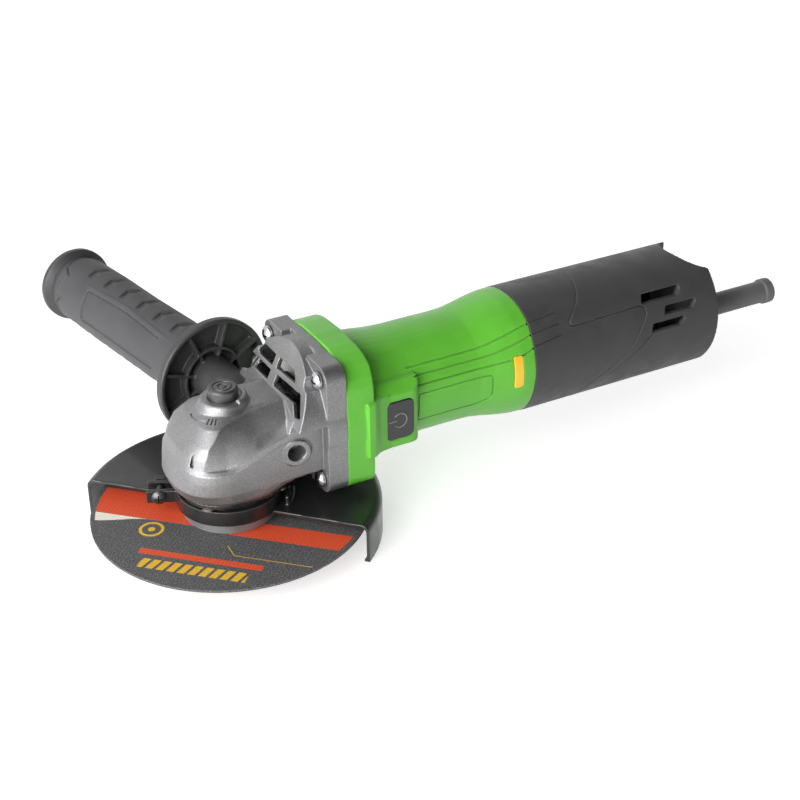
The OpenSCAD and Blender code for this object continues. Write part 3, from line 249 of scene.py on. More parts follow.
def plain_finish(name, color, rough, metal=0.0, coat=0.0, grain=0.0004, depth=0.00003, mottle=0.12,
                 patch=0.014, wear_and_highlight=None, wear_and_highlight_share=0.6, stretch=(1, 1, 1), specular=0.5, crevice_shade=0.6):
    """A moulded, turned or painted surface: grain, slow colour variation, paler edges from wear and from a painted
    highlight, and painted shade at the bottom of grooves and joints.
    """
    paint = Paint(name, rough, metal, coat, specular=specular)
    slow = paint.noise(patch, 3.0)
    tone = paint.mix(paint.spread(slow, 0.3, 0.7), scaled(color, 1 - mottle), scaled(color, 1 + mottle))
    if wear_and_highlight is not None:
        deep = paint.crevice(0.0012)
        # paler edges: partly wear, partly a painted highlight
        wear_and_highlight_mask = paint.product(paint.edges(0.0004), paint.spread(slow, 0.25, 0.75, 0.4, 1.0),
                               paint.math("SUBTRACT", 1.0, deep), wear_and_highlight_share)
        tone = paint.mix(wear_and_highlight_mask, tone, wear_and_highlight)
        # painted shade: darker at the bottom of grooves and joints
        tone = paint.mix(paint.product(deep, crevice_shade), tone, scaled(color, 0.3))
    fine = paint.noise(grain, 2.0, stretch)
    paint.bump(fine, depth)
    uneven = paint.spread(paint.noise(patch * 0.5, 2.0), 0.3, 0.7, rough - 0.05, rough + 0.07)
    return paint.done(tone, uneven)


HOOD_WALL = (1.0, 2.2)          # mm behind the face: where the hood's wall ends and its inside starts
HOOD_FLOOR = (0.0064, 0.0072)   # metres over the motor axis, where the inside starts
HOOD_RIM = 0.6                  # mm over which it ends at its round wall


def inside_hood(paint):
    """1 inside the gear case's hood, 0 elsewhere."""
    x, y, z = paint.axes()
    lean = math.radians(HOOD_LEAN)
    up = paint.math("SUBTRACT", z, AXIS_Z)
    behind = paint.math("ADD", paint.product(x, math.cos(lean) / MM),
                        paint.product(up, -math.sin(lean) / MM))
    around = paint.math("SQRT", paint.math("ADD", paint.product(y, y), paint.product(up, up)))
    return paint.product(paint.spread(behind, HOOD_FACE + HOOD_WALL[0], HOOD_FACE + HOOD_WALL[1]),
                         paint.spread(up, *HOOD_FLOOR),
                         paint.spread(around, HOOD_INNER * MM, (HOOD_INNER - HOOD_RIM) * MM))


def cast_finish(name, color, flake_and_highlight, rough=0.51):
    """Sprayed metallic paint over a cast surface: fine orange peel with bright and dark flakes, a painted
    highlight along its edges and painted shade in its crevices. The inside of the hood, seen through its slots, is
    bare and painted near-black as shade."""
    paint = Paint(name, rough, metal=0.95)
    slow = paint.noise(0.02, 3.0)
    tone = paint.mix(paint.spread(slow, 0.3, 0.7), scaled(color, 0.92), scaled(color, 1.08))
    bright = paint.spread(paint.noise(0.00045, 1.0), 0.6, 0.7)
    dark = paint.spread(paint.noise(0.00055, 1.0), 0.42, 0.3)
    tone = paint.mix(paint.product(bright, 0.38), tone, flake_and_highlight)
    tone = paint.mix(paint.product(dark, 0.4), tone, scaled(color, 0.4))
    deep = paint.crevice(0.002)
    rim = paint.product(paint.edges(0.0006), paint.math("SUBTRACT", 1.0, deep))
    # painted highlight: the edges are lightened to the bright speckle colour
    tone = paint.mix(paint.product(rim, 0.4), tone, flake_and_highlight)
    # painted shade: darker at the bottom of crevices
    tone = paint.mix(paint.product(deep, 0.5), tone, scaled(color, 0.3))
    # painted shade: the inside of the hood, seen through its slots, is painted near-black
    tone = paint.mix(inside_hood(paint), tone, (0.015, 0.015, 0.016))
    paint.bump(paint.noise(0.0006, 3.0), 0.00006)
    return paint.done(tone, paint.spread(slow, 0.3, 0.7, rough - 0.05, rough + 0.06))


def pebbled_finish(name, color, rough):
    """Soft rubber with a fine pebble grain, paler along its edges from hand wear and from a painted highlight, and
    with painted shade in its grooves.
    """
    paint = Paint(name, rough, specular=0.4)
    slow = paint.noise(0.018, 3.0)
    tone = paint.mix(paint.spread(slow, 0.3, 0.7), scaled(color, 0.88), scaled(color, 1.1))
    deep = paint.crevice(0.0015)
    rim = paint.product(paint.edges(0.0005), paint.math("SUBTRACT", 1.0, deep))
    # paler edges: partly wear, partly a painted highlight
    tone = paint.mix(paint.product(rim, 0.5), tone, scaled(color, 2.2))
    # painted shade: darker at the bottom of grooves
    tone = paint.mix(paint.product(deep, 0.7), tone, scaled(color, 0.25))
    paint.bump(paint.cells(0.0007), 0.00004)
    paint.bump(paint.noise(0.00025, 2.0), 0.00002)
    return paint.done(tone, paint.spread(slow, 0.3, 0.7, rough - 0.06, rough + 0.08))


PRINT_ANGLE = -43.5     # how the print lies across the disc at rest
PRINT_EDGE = 60.4       # radius that it reaches
PRINT_RED = (0.72, 0.085, 0.03)
PRINT_GOLD = (0.78, 0.46, 0.03)
PRINT_PALE = (0.85, 0.8, 0.7)
RING_AT = (-28, -25)    # the middle of the gold ring, across and up the print
GLASS_PITCH = 0.0024    # of the mesh under the grit


def disc_finish(name):
    """A resin cutting disc: grit, glass mesh and a generic print of bands, bars and rings."""
    paint = Paint(name, 0.6, specular=0.4)
    x, y, _ = paint.axes()
    grit = paint.noise(0.0006, 2.0)
    tone = paint.mix(paint.spread(grit, 0.35, 0.65), (0.04, 0.04, 0.041), (0.14, 0.14, 0.143))
    sparks = paint.spread(paint.noise(0.00042, 0.0), 0.7, 0.77)
    tone = paint.mix(paint.product(sparks, 0.7), tone, grey(0.5))

    def span(x_share, y_share):
        """A place along some direction on the disc, in mm."""
        return paint.math("ADD", paint.product(x, x_share / MM), paint.product(y, y_share / MM))

    def sum_of(value, other, share):
        return paint.math("ADD", value, paint.product(other, share))

    def band(value, start, end, soft=0.12):
        """1 where a value in mm lies between start and end."""
        off = paint.math("ABSOLUTE", paint.math("SUBTRACT", value, (start + end) / 2))
        half = abs(end - start) / 2
        return paint.spread(off, half + soft, half - soft)

    def away(across_at, up_at):
        part_x = paint.math("POWER", paint.math("SUBTRACT", across, across_at), 2.0)
        part_y = paint.math("POWER", paint.math("SUBTRACT", up, up_at), 2.0)
        return paint.math("SQRT", paint.math("ADD", part_x, part_y))

    def box(left, right, bottom, top, soft=0.12):
        return paint.product(band(across, left, right, soft), band(up, bottom, top))

    lean = math.radians(PRINT_ANGLE)
    across = span(math.cos(lean), math.sin(lean))
    up = span(-math.sin(lean), math.cos(lean))
    printed = paint.product(paint.spread(grit, 0.3, 0.42, 0.6, 1.0),
                            band(away(0.0, 0.0), -PRINT_EDGE, PRINT_EDGE))
    fan = paint.spread(across, -31, -58, 0.0, 6.5)
    fan_edge = paint.spread(paint.math("ADD", up, fan), -18.2, -17.8)
    stripes = paint.math("PINGPONG", sum_of(across, up, -0.3), 2.4)
    ring = away(*RING_AT)
    for share, color in (
            (box(-70, 0, -17.9, 2), PRINT_RED),
            (paint.product(band(up, -30, -18.0), fan_edge), PRINT_PALE),
            (box(6, 70, -20.8, -9), PRINT_RED),
            (box(14, 52, -35.3, -34.9), PRINT_GOLD),
            (paint.product(band(across, 9, 14.2), band(sum_of(up, across, 1.2), -18.4, -17.8)), PRINT_GOLD),
            (box(-27, 29, -43, -39.2, 0.3), PRINT_RED),
            (paint.product(box(-23.5, 25, -52.6, -46, 0.3), band(stripes, 0.75, 3, 0.1)), PRINT_GOLD),
            (band(ring, 4.2, 5.6), PRINT_GOLD),
            (band(ring, -1.6, 1.6), PRINT_GOLD)):
        tone = paint.mix(paint.product(printed, share), tone, color)
    paint.bump(grit, 0.00016)
    paint.bump(paint.noise(0.0022, 1.0), 0.0001)
    mesh = 2 * math.pi / GLASS_PITCH
    weave = paint.product(*(paint.math("SINE", paint.product(place, mesh)) for place in (x, y)))
    paint.bump(weave, 0.00005)
    return paint.done(tone, paint.spread(grit, 0.3, 0.7, 0.45, 0.65))


def layered_finish(name, color, rough, metal, pitch, axis, depth):
    """Stacked sheets or wound wire: fine lines a pitch apart along an axis."""
    paint = Paint(name, rough, metal)
    place = paint.axes()[axis]
    lines = paint.math("SINE", paint.product(place, 2 * math.pi / pitch))
    dark = scaled(color, 0.45)
    tone = paint.mix(paint.spread(lines, -0.9, 0.2), dark, color)
    tone = paint.mix(paint.spread(paint.noise(0.006, 3.0), 0.4, 0.7, 0.0, 0.3), tone, dark)
    paint.bump(lines, depth)
    return paint.done(tone)


def board_finish(name):
    """A circuit board: solder resist over copper tracks and pads."""
    paint = Paint(name, 0.35, coat=0.4)
    bricks = paint.node("TexBrick", offset=0.5, squash=0.7)
    paint.feed(bricks.inputs["Vector"], paint.place)
    bricks.inputs["Scale"].default_value = 260.0
    bricks.inputs["Mortar Size"].default_value = 0.06
    tone = paint.mix(bricks.outputs["Fac"], (0.012, 0.1, 0.035), (0.03, 0.22, 0.08))
    pads = paint.spread(paint.cells(0.0026), 0.2, 0.14)
    tone = paint.mix(paint.product(pads, 0.8), tone, (0.6, 0.55, 0.4))
    paint.bump(pads, 0.00006)
    return paint.done(tone)


FINISHES = {
    "case_alloy": lambda n: cast_finish(n, (0.29, 0.29, 0.295), (0.7, 0.7, 0.71)),
    "retainer_alloy": lambda n: plain_finish(n, (0.02, 0.02, 0.021), 0.24, coat=0.5, grain=0.0008,
                                             depth=0.00003, wear_and_highlight=grey(0.16)),
    "green_shell": lambda n: plain_finish(n, (0.115, 0.47, 0.035), 0.36, coat=0.12, depth=0.000012,
                                          mottle=0.04, wear_and_highlight=(0.34, 0.78, 0.2), wear_and_highlight_share=0.8,
                                          crevice_shade=0.8),
    "black_shell": lambda n: plain_finish(n, (0.05, 0.05, 0.051), 0.5, depth=0.00004, mottle=0.08,
                                          wear_and_highlight=grey(0.16)),
    "dark_moulding": lambda n: plain_finish(n, grey(0.04), 0.5),
    "button_cover": lambda n: pebbled_finish(n, (0.055, 0.055, 0.057), 0.5),
    "amber_lens": lambda n: plain_finish(n, (0.98, 0.6, 0.03), 0.18, coat=0.6, depth=0.000006,
                                         mottle=0.05),
    "soft_rubber": lambda n: plain_finish(n, (0.14, 0.14, 0.143), 0.45, depth=0.00002,
                                          wear_and_highlight=grey(0.28)),
    "handle_nylon": lambda n: plain_finish(n, (0.045, 0.045, 0.046), 0.42, depth=0.00004,
                                           wear_and_highlight=grey(0.15)),
    "grip_rubber": lambda n: pebbled_finish(n, (0.062, 0.062, 0.065), 0.55),
    "guard_paint": lambda n: plain_finish(n, (0.013, 0.013, 0.014), 0.34, coat=0.35, grain=0.0009,
                                          depth=0.00003, wear_and_highlight=grey(0.09)),
    "black_fastener": lambda n: plain_finish(n, grey(0.1), 0.35, metal=0.9, mottle=0.2,
                                             wear_and_highlight=grey(0.55)),
    "steel": lambda n: plain_finish(n, (0.5, 0.5, 0.51), 0.3, metal=1.0, grain=0.0003, depth=0.00001,
                                    stretch=(1, 1, 9), wear_and_highlight=grey(0.8)),
    "dark_steel": lambda n: plain_finish(n, (0.17, 0.17, 0.175), 0.38, metal=0.9, stretch=(1, 1, 6),
                                         depth=0.00001, wear_and_highlight=grey(0.5)),
    "bright_steel": lambda n: plain_finish(n, (0.36, 0.36, 0.365), 0.27, metal=1.0, depth=0.000008,
                                           stretch=(1, 1, 8), wear_and_highlight=grey(0.7)),
    "bronze": lambda n: plain_finish(n, (0.55, 0.34, 0.15), 0.35, metal=1.0),
    "abrasive": disc_finish,
    "laminated_steel": lambda n: layered_finish(n, (0.3, 0.3, 0.31), 0.4, 0.9, 0.001, 0, 0.0001),
    "magnet": lambda n: plain_finish(n, (0.24, 0.24, 0.25), 0.35, metal=0.8, mottle=0.2),
    "copper_wire": lambda n: layered_finish(n, (0.62, 0.26, 0.11), 0.3, 0.9, 0.0013, 1, 0.0003),
    "pale_nylon": lambda n: plain_finish(n, (0.62, 0.61, 0.56), 0.45, mottle=0.05),
    "circuit_board": board_finish,
    "heat_sink_alloy": lambda n: plain_finish(n, (0.6, 0.6, 0.61), 0.35, metal=1.0, stretch=(9, 1, 1)),
    "component_plastic": lambda n: plain_finish(n, (0.025, 0.025, 0.04), 0.3, coat=0.3),
    "button_steel": lambda n: plain_finish(n, (0.12, 0.12, 0.122), 0.42, metal=0.85, depth=0.00001,
                                           wear_and_highlight=grey(0.4)),
    "flange_steel": lambda n: plain_finish(n, grey(0.3), 0.5, metal=0.7, depth=0.00001,
                                           wear_and_highlight=grey(0.6)),
    "screw_steel": lambda n: plain_finish(n, (0.55, 0.55, 0.56), 0.24, metal=1.0, depth=0.00001,
                                          wear_and_highlight=grey(0.85), crevice_shade=0.9),
    "symbol_ink": lambda n: plain_finish(n, grey(0.2), 0.45, mottle=0.1),
}
materials = {name: build(name) for name, build in FINISHES.items()}


def coat_piece(piece, slot):
    piece.data.materials.clear()
    piece.data.materials.append(materials[slot])


for node_name, slot_name in SLOT_OF.items():
    coat_piece(nodes[node_name], slot_name)
coat_piece(nodes["gear_case_screws"], "screw_steel")
coat_piece(nodes["inner_flange"], "flange_steel")


# ---------- mesh tools ----------
SMOOTH_ANGLE = math.radians(32)


def add_piece(name, mesh, body, slot, finish=None):
    """A new piece on a body. Its finish is the slot's own, unless another is named."""
    piece = bpy.data.objects.new(name, mesh)
    bpy.context.scene.collection.objects.link(piece)
    coat_piece(piece, finish or slot)
    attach(piece, body)
    return piece


def mesh_of(name, points, faces):
    mesh = bpy.data.meshes.new(name)
    mesh.from_pydata([tuple(p) for p in points], [], faces)
    shape = bmesh.new()
    shape.from_mesh(mesh)
    bmesh.ops.recalc_face_normals(shape, faces=shape.faces)
    shape.to_mesh(mesh)
    shape.free()
    return mesh


def soften(mesh):
    mesh.shade_smooth()
    mesh.set_sharp_from_angle(angle=SMOOTH_ANGLE)


def apply(piece):
    """The piece's modifiers become its mesh."""
    graph = bpy.context.evaluated_depsgraph_get()
    mesh = bpy.data.meshes.new_from_object(piece.evaluated_get(graph))
    piece.modifiers.clear()
    piece.data = mesh


def ring_faces(rings, count, closed=False):
    """Faces between rings of count points, the last ring joined to the first if closed."""
    faces = []
    for i in range(rings if closed else rings - 1):
        j = (i + 1) % rings
        for k in range(count):
            m = (k + 1) % count
            faces.append((i * count + k, i * count + m, j * count + m, j * count + k))
    return faces


def end_faces(rings, count):
    return [tuple(range(count)), tuple(reversed(range((rings - 1) * count, rings * count)))]


def tube(path, radius, sides=8, closed=False):
    """(points, faces) of a round bar along a path."""
    path = [Vector(p) for p in path]
    count = len(path)
    points = []
    side = None
    for i, here in enumerate(path):
        before = path[(i - 1) % count] if closed or i > 0 else here
        after = path[(i + 1) % count] if closed or i < count - 1 else here
        ahead = (after - before).normalized()
        if side is None:
            side = ahead.orthogonal().normalized()
        side = (side - ahead * side.dot(ahead)).normalized()
        other = ahead.cross(side)
        for k in range(sides):
            turn = 2 * math.pi * k / sides
            points.append(here + (side * math.cos(turn) + other * math.sin(turn)) * radius)
    faces = ring_faces(count, sides, closed)
    return points, faces if closed else faces + end_faces(count, sides)


def prism(outline, start, end, to_place):
    """(points, faces) of an outline drawn out from start to end; to_place(u, v, w) gives a point."""
    count = len(outline)
    points = [to_place(u, v, start) for u, v in outline] + [to_place(u, v, end) for u, v in outline]
    return points, end_faces(2, count) + ring_faces(2, count)


def combine(piece, shapes, operation):
    """Cuts the shapes from a piece (DIFFERENCE) or joins them to it (UNION)."""
    for points, faces in shapes:
        tool = bpy.data.objects.new("tool", mesh_of("tool", points, faces))
        bpy.context.scene.collection.objects.link(tool)
        step = piece.modifiers.new("step", "BOOLEAN")
        step.operation = operation
        step.solver = "MANIFOLD"
        step.object = tool
        apply(piece)
        bpy.data.objects.remove(tool)


def combine_all(piece, shapes, operation):
    """As combine, in one step, for shapes that don't touch each other."""
    points = []
    faces = []
    for some_points, some_faces in shapes:
        start = len(points)
        points += some_points
        faces += [tuple(start + i for i in face) for face in some_faces]
    combine(piece, [(points, faces)], operation)


def recast(name, node, voxel=0.4, rounds=5, keep=0.22, cuts=(), joins=()):
    """A copy of a CAD node with the soft fillets of a casting, after coarse cuts and joins."""
    mesh = nodes[node].data.copy()
    shape = bmesh.new()
    shape.from_mesh(mesh)
    bmesh.ops.remove_doubles(shape, verts=shape.verts, dist=2e-6)
    shape.to_mesh(mesh)
    shape.free()
    piece = add_piece(name, mesh, BODY_OF[node], SLOT_OF[node])
    combine(piece, joins, "UNION")
    combine(piece, cuts, "DIFFERENCE")
    remesh = piece.modifiers.new("remesh", "REMESH")
    remesh.mode = "VOXEL"
    remesh.voxel_size = voxel * MM * 1
    smooth = piece.modifiers.new("smooth", "SMOOTH")
    smooth.factor = 0.5
    smooth.iterations = rounds
    thin = piece.modifiers.new("thin", "DECIMATE")
    thin.ratio = keep
    apply(piece)
    coat_piece(piece, SLOT_OF[node])
    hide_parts(node)
    return piece


def skin_of(piece):
    graph = bpy.context.evaluated_depsgraph_get()
    return BVHTree.FromObject(piece, graph)


def round_points(corners, radius, steps=5, closed=False):
    """A polyline with its corners rounded, in any pair of units."""
    points = []
    count = len(corners)
    for i, corner in enumerate(corners):
        here = Vector(corner)
        if not closed and i in (0, count - 1):
            points.append(here)
            continue
        back = Vector(corners[i - 1]) - here
        on = Vector(corners[(i + 1) % count]) - here
        reach = min(radius, back.length * 0.45, on.length * 0.45)
        start = here + back.normalized() * reach
        end = here + on.normalized() * reach
        for k in range(steps + 1):
            t = k / steps
            points.append(start * (1 - t) ** 2 + here * 2 * t * (1 - t) + end * t ** 2)
    return points


def fill_in(points, step, closed=False):
    """The same line with points no further than step apart."""
    filled = []
    ring = points + [points[0]] if closed else points
    for a, b in zip(ring, ring[1:]):
        pieces = max(1, math.ceil((b - a).length / step))
        filled += [a.lerp(b, k / pieces) for k in range(pieces)]
    if not closed:
        filled.append(ring[-1])
    return filled


# ---------- places by x in mm and degrees from the top, turned to one side ----------
RAY_START = 0.07        # metres from the motor axis, outside everything
BARREL_DEGREE = 0.5     # mm of the barrel's skin for one degree, near enough


def on_barrel(tree, x, angle, side):
    turn = math.radians(angle)
    out = Vector((0, side * math.sin(turn), math.cos(turn)))
    start = Vector((x * MM, 0, AXIS_Z)) + out * RAY_START
    return tree.ray_cast(start, -out)[0]


def barrel_line(tree, corners, radius, side, closed=False):
    """Points on the barrel's skin along a line given as x and angle, corners rounded."""
    flat = [(x, angle * BARREL_DEGREE) for x, angle in corners]
    line = fill_in(round_points(flat, radius, closed=closed), 1.2, closed)
    found = [on_barrel(tree, p[0], p[1] / BARREL_DEGREE, side) for p in line]
    return [p for p in found if p is not None]


def along_motor(u, v, w):
    """A place in mm, for an outline that is drawn out along the motor axis."""
    return Vector((w, u, v)) * MM


# ---------- gear case ----------
# outline of the sliver beside an ear: mm from the middle, and mm in from the joint's outer face
EAR_FILL = ((0, 1.2), (0, 0), (8, 0.2), (16, 0.8), (23, 1.3), (20, 2), (12, 2.2), (6, 1.6))


def round_fills(front, back, top):
    """Slivers that run the round of the joint smoothly into the four ears."""
    axis = AXIS_Z / MM
    return [prism([(y_side * y, axis + z_side * (top - down)) for y, down in EAR_FILL],
                  front, back, along_motor) for y_side in SIDES for z_side in SIDES]


FLANK_ROWS = 46
FACE_ROWS = 10
FLANK_START = -24       # x of the flank cutter's front, ahead of the case
FLANK_TOP = 62          # over everything
FLANK_OUT = 40          # beside everything
PLATEAU_AT = -8         # x where the heights and widths below hold; the slopes run from there
EDGE_HEIGHT = 51.8      # the plateau's edge
EDGE_RISE = 0.0933      # for each mm of x
EDGE_SIDE = 15.5
EDGE_TAPER = 0.177      # for each mm of x
EDGE_SLICE = 53         # height at which the edge's x is taken
FOOT_HEIGHT = 35.4      # the step line, where the facet ends
FOOT_RISE = 0.36        # for each mm of x
FOOT_SIDE = 24.3
FOOT_CURVE = 0.011      # how it rounds in ahead of the spindle
FOOT_SLICE = 44         # height at which the foot's x is taken
FACE_CROWN = 0.8        # how far the facet bulges in its middle
FACE_OUT = (0, 0.75, 0.66)      # the way it bulges
LEAF_START = 4          # x of the leaf-shaped hollow along the facet's foot
LEAF_LENGTH = 20
LEAF_DEPTH = 1.0
LEAF_MIDDLE = 0.82      # where it lies between the plateau's edge and the foot
LEAF_HALF = 0.2
LEAF_IN = (0.8, 0.6)    # the way it sinks, in and down


def hood_plane(height, shift=-0.3):
    """x of the hood's leaning face at a height in mm."""
    return HOOD_FOOT + shift + (height - AXIS_Z / MM) * math.tan(math.radians(HOOD_LEAN))


def flank_x(height, share):
    """x at a height, a share of the way from the cutter's front to the hood."""
    return FLANK_START + (hood_plane(height) - FLANK_START) * share


def flank_ring(share):
    """The flank cutter's outline that share of the way along, as (x, y, z) in mm."""
    edge_z = EDGE_HEIGHT + EDGE_RISE * (flank_x(EDGE_SLICE, share) - PLATEAU_AT)
    edge_y = EDGE_SIDE - EDGE_TAPER * (flank_x(edge_z, share) - PLATEAU_AT)
    foot_z = FOOT_HEIGHT + FOOT_RISE * max(0, flank_x(FOOT_SLICE, share) - PLATEAU_AT)
    foot_x = flank_x(foot_z, share)
    foot_y = FOOT_SIDE - FOOT_CURVE * min(0, foot_x) ** 2
    leaf = math.sin(math.pi * min(1, max(0, (foot_x - LEAF_START) / LEAF_LENGTH)))
    edge = Vector((flank_x(edge_z, share), edge_y, edge_z))
    foot = Vector((foot_x, foot_y, foot_z))
    face = []
    for k in range(FACE_ROWS + 1):
        down = k / FACE_ROWS
        spot = edge.lerp(foot, down) + Vector(FACE_OUT) * (4 * FACE_CROWN * down * (1 - down))
        hollow = LEAF_DEPTH * leaf * max(0, 1 - ((down - LEAF_MIDDLE) / LEAF_HALF) ** 2)
        face.append((spot.x, spot.y - hollow * LEAF_IN[0], spot.z - hollow * LEAF_IN[1]))
    top_x = flank_x(FLANK_TOP, share)
    return [(top_x, edge_y, FLANK_TOP), (top_x, FLANK_OUT, FLANK_TOP), (foot_x, FLANK_OUT, foot_z),
            *reversed(face)]


def flank_cutter(side):
    """(points, faces) that pare a flank to one ruled facet, from a crisp plateau edge down to the
    step line, where it ends in a leaf-shaped hollow."""
    rings = [flank_ring(i / FLANK_ROWS) for i in range(FLANK_ROWS + 1)]
    points = [Vector((x, side * y, z)) * MM for ring in rings for x, y, z in ring]
    count = len(rings[0])
    return points, end_faces(len(rings), count) + ring_faces(len(rings), count)


SLOT_MIDDLE = 4.6       # y of the upright bar between the hood's slots
HOOD_SLOTS = (          # outlines from that bar and from the motor axis, up along the face
    ((3.7, 20.3), (16, 20.3), (18.6, 21.6), (14.9, 25.7), (3.7, 25.7)),
    ((-0.2, 20.9), (-18.8, 21.8), (-14.8, 26.3), (-0.2, 25.7)),
    ((3.3, 13.4), (18.6, 13.4), (21.6, 8.8), (27.5, 8.8), (23.2, 18.3), (3.3, 18.3)),
    ((-2.9, 13.5), (-22.8, 14.4), (-27.7, 9.8), (-32.4, 10.8), (-25.6, 19.8), (-2.9, 18.7)))


def on_hood(u, v, w):
    """A place from y, the way up the hood's face and the way out of it, in mm."""
    lean = math.radians(HOOD_LEAN)
    return Vector((HOOD_FOOT - w * math.cos(lean) + v * math.sin(lean), u,
                   AXIS_Z / MM + w * math.sin(lean) + v * math.cos(lean))) * MM


def hood_slots():
    """Cutters that widen the hood's four slots to their soft cast mouths."""
    return [prism([(SLOT_MIDDLE + u, v) for u, v in outline], -4, 3, on_hood) for outline in HOOD_SLOTS]


NOTCH_TURN = 147        # degrees about the spindle from the motor's side
NOTCH_INNER = 25.1      # radius where it starts, outside the gears' chamber
NOTCH_BOTTOM = 36.0
NOTCH_TOP = 44.5
NOTCH_WIDE = 0.7


def side_notch(turn, reach):
    """A cutter for the narrow wedge-shaped notch in the nose, out to a radius."""
    aim = Vector((math.cos(math.radians(turn)), math.sin(math.radians(turn)), 0))
    aside = Vector((-aim.y, aim.x, 0)) * math.copysign(1, turn)
    outline = [(-NOTCH_WIDE * 2, NOTCH_BOTTOM), (NOTCH_WIDE, NOTCH_BOTTOM), (-NOTCH_WIDE, NOTCH_TOP)]
    return prism(outline, NOTCH_INNER, reach,
                 lambda u, v, w: (aside * u + aim * w + Vector((0, 0, v))) * MM)


THREAD_STEPS = 18       # for one turn
THREAD_START = 0.6      # mm before the mouth
THREAD_GROOVE = 0.42    # radius of the groove


def thread_groove(mount_name, radius, pitch, depth):
    """A helical groove along the wall of a threaded mount."""
    mount = next(m for m in record["mounts"] if m["name"] == mount_name)
    out = Vector(mount["axis"]).normalized()
    start = Vector(mount["pos_m"]) + out * (depth / 2 * MM)
    side = out.orthogonal().normalized()
    other = out.cross(side)
    path = []
    for k in range(int(depth / pitch * THREAD_STEPS)):
        turn = 2 * math.pi * k / THREAD_STEPS
        path.append(start + out * ((THREAD_START - pitch * k / THREAD_STEPS) * MM)
                    + (side * math.cos(turn) + other * math.sin(turn)) * (radius * MM))
    return tube(path, THREAD_GROOVE * MM, 6)


ARC_RADIUS = 14.5       # of the arc beside the lock button, the disc's direction
ARC_TURNS = range(-34, 13, 3)
TICK_TURNS = (-40, -47, -54)
TICK_REACH = 1.5        # either way of the arc


def direction_marks(tree, plateau):
    """Cutters for an arc and three ticks in the top, laid on the skin under the plateau's height."""
    def on_top(radius, turn):
        x = -radius * math.cos(math.radians(turn))
        y = radius * math.sin(math.radians(turn))
        return tree.ray_cast(Vector((x * MM, y * MM, plateau + 0.01)), Vector((0, 0, -1)))[0]

    marks = [tube([on_top(ARC_RADIUS, turn) for turn in ARC_TURNS], 0.6 * MM)]
    for turn in TICK_TURNS:
        ends = (ARC_RADIUS - TICK_REACH, ARC_RADIUS, ARC_RADIUS + TICK_REACH)
        marks.append(tube([on_top(radius, turn) for radius in ends], 0.55 * MM))
    return marks


def make_gear_case():
    corner_low, corner_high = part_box("gear_case")
    reach = -corner_low[0] / MM + 2
    cuts = [flank_cutter(side) for side in SIDES]
    cuts += [side_notch(side * NOTCH_TURN, reach) for side in SIDES]
    cuts += hood_slots()
    piece = recast("gear_case_casting", "gear_case", 0.32, 3, 0.34, cuts=cuts,
                   joins=round_fills(39.2, 43.8, 31.9))
    marks = direction_marks(skin_of(piece), corner_high[2])
    marks.append(thread_groove("right_handle_thread", 4.0, 1.25, 10.5))
    combine_all(piece, marks, "DIFFERENCE")
    soften(piece.data)


# ---------- motor housing and rear ----------
BELL_END = 58.5         # x where the bell ends
POD_FACE = -29.3        # y of the power button's surround
POD_BACK = 66.0         # x where its slope from the bell ends
EAR_OUTER = 45          # beside the bell
EAR_ROUND = ((8, 32.75), (14, 31.9), (19, 30.8), (23, 29.5), (25.6, 28.2), (27.2, 27.2), (28.2, 25.6),
             (29.5, 23), (30.8, 19), (31.3, 14))    # the bell's upper corners, from its axis
HOUSING_LINES = (       # as x and degrees from the top
    ((79, 51), (118, 51), (131, 46.5), (143, 42)),
    ((80, 61), (122, 61), (134, 57), (143, 52.5)),
    ((81, 71.5), (127, 71.5), (137, 69), (143, 64.5)))
HOUSING_PANEL = ((83, 81), (121, 81), (121, 108), (114, 114), (83, 114))
SLEEVE_LINES = (((142, 42), (158, 39.5)), ((142, 52.5), (158, 50)), ((142, 64), (158, 60)))
CAP_LINE = ((212, 76), (205, 88), (187, 116), (179, 128))


def line_cutter(tree, corners, radius, side, half, closed=False):
    """A cutter for a groove along a line on the barrel."""
    return tube(barrel_line(tree, corners, radius, side, closed), half * MM, 6, closed)


def make_housing():
    axis = AXIS_Z / MM
    slope = [(BELL_END - 5, -27), (BELL_END - 5, -33.2), (BELL_END - 1.5, -33.0), (BELL_END + 2, -30.6),
             (POD_BACK, POD_FACE), (POD_BACK, -27)]
    wedge = prism(slope, axis - 16.5, axis + 10.5, lambda u, v, w: Vector((u, v, w)) * MM)
    corner = [*EAR_ROUND, (EAR_OUTER, 14), (EAR_OUTER, EAR_OUTER), (8, EAR_OUTER)]
    rounds = [prism([(side * y, axis + z) for y, z in corner], 43, BELL_END + 4, along_motor)
              for side in SIDES]
    piece = recast("motor_housing_shell", "motor_housing", 0.42, 4, 0.24, cuts=rounds,
                   joins=[wedge, *round_fills(44.2, BELL_END - 1.5, 32.6)])
    tree = skin_of(piece)
    grooves = []
    for side in SIDES:
        grooves += [line_cutter(tree, corners, 8, side, 0.6) for corners in HOUSING_LINES]
        grooves.append(line_cutter(tree, HOUSING_PANEL, 2, side, 0.5, closed=True))
    combine_all(piece, grooves, "DIFFERENCE")
    soften(piece.data)


def make_rear():
    sleeve = recast("rear_sleeve_shell", "rear_sleeve", 0.42, 3, 0.25)
    cap = recast("rear_cap_shell", "rear_cap", 0.42, 3, 0.25)
    for piece, lines, half in ((sleeve, SLEEVE_LINES, 0.5), (cap, (CAP_LINE,), 0.45)):
        tree = skin_of(piece)
        grooves = [line_cutter(tree, corners, 3, side, half) for side in SIDES for corners in lines]
        combine_all(piece, grooves, "DIFFERENCE")
        soften(piece.data)


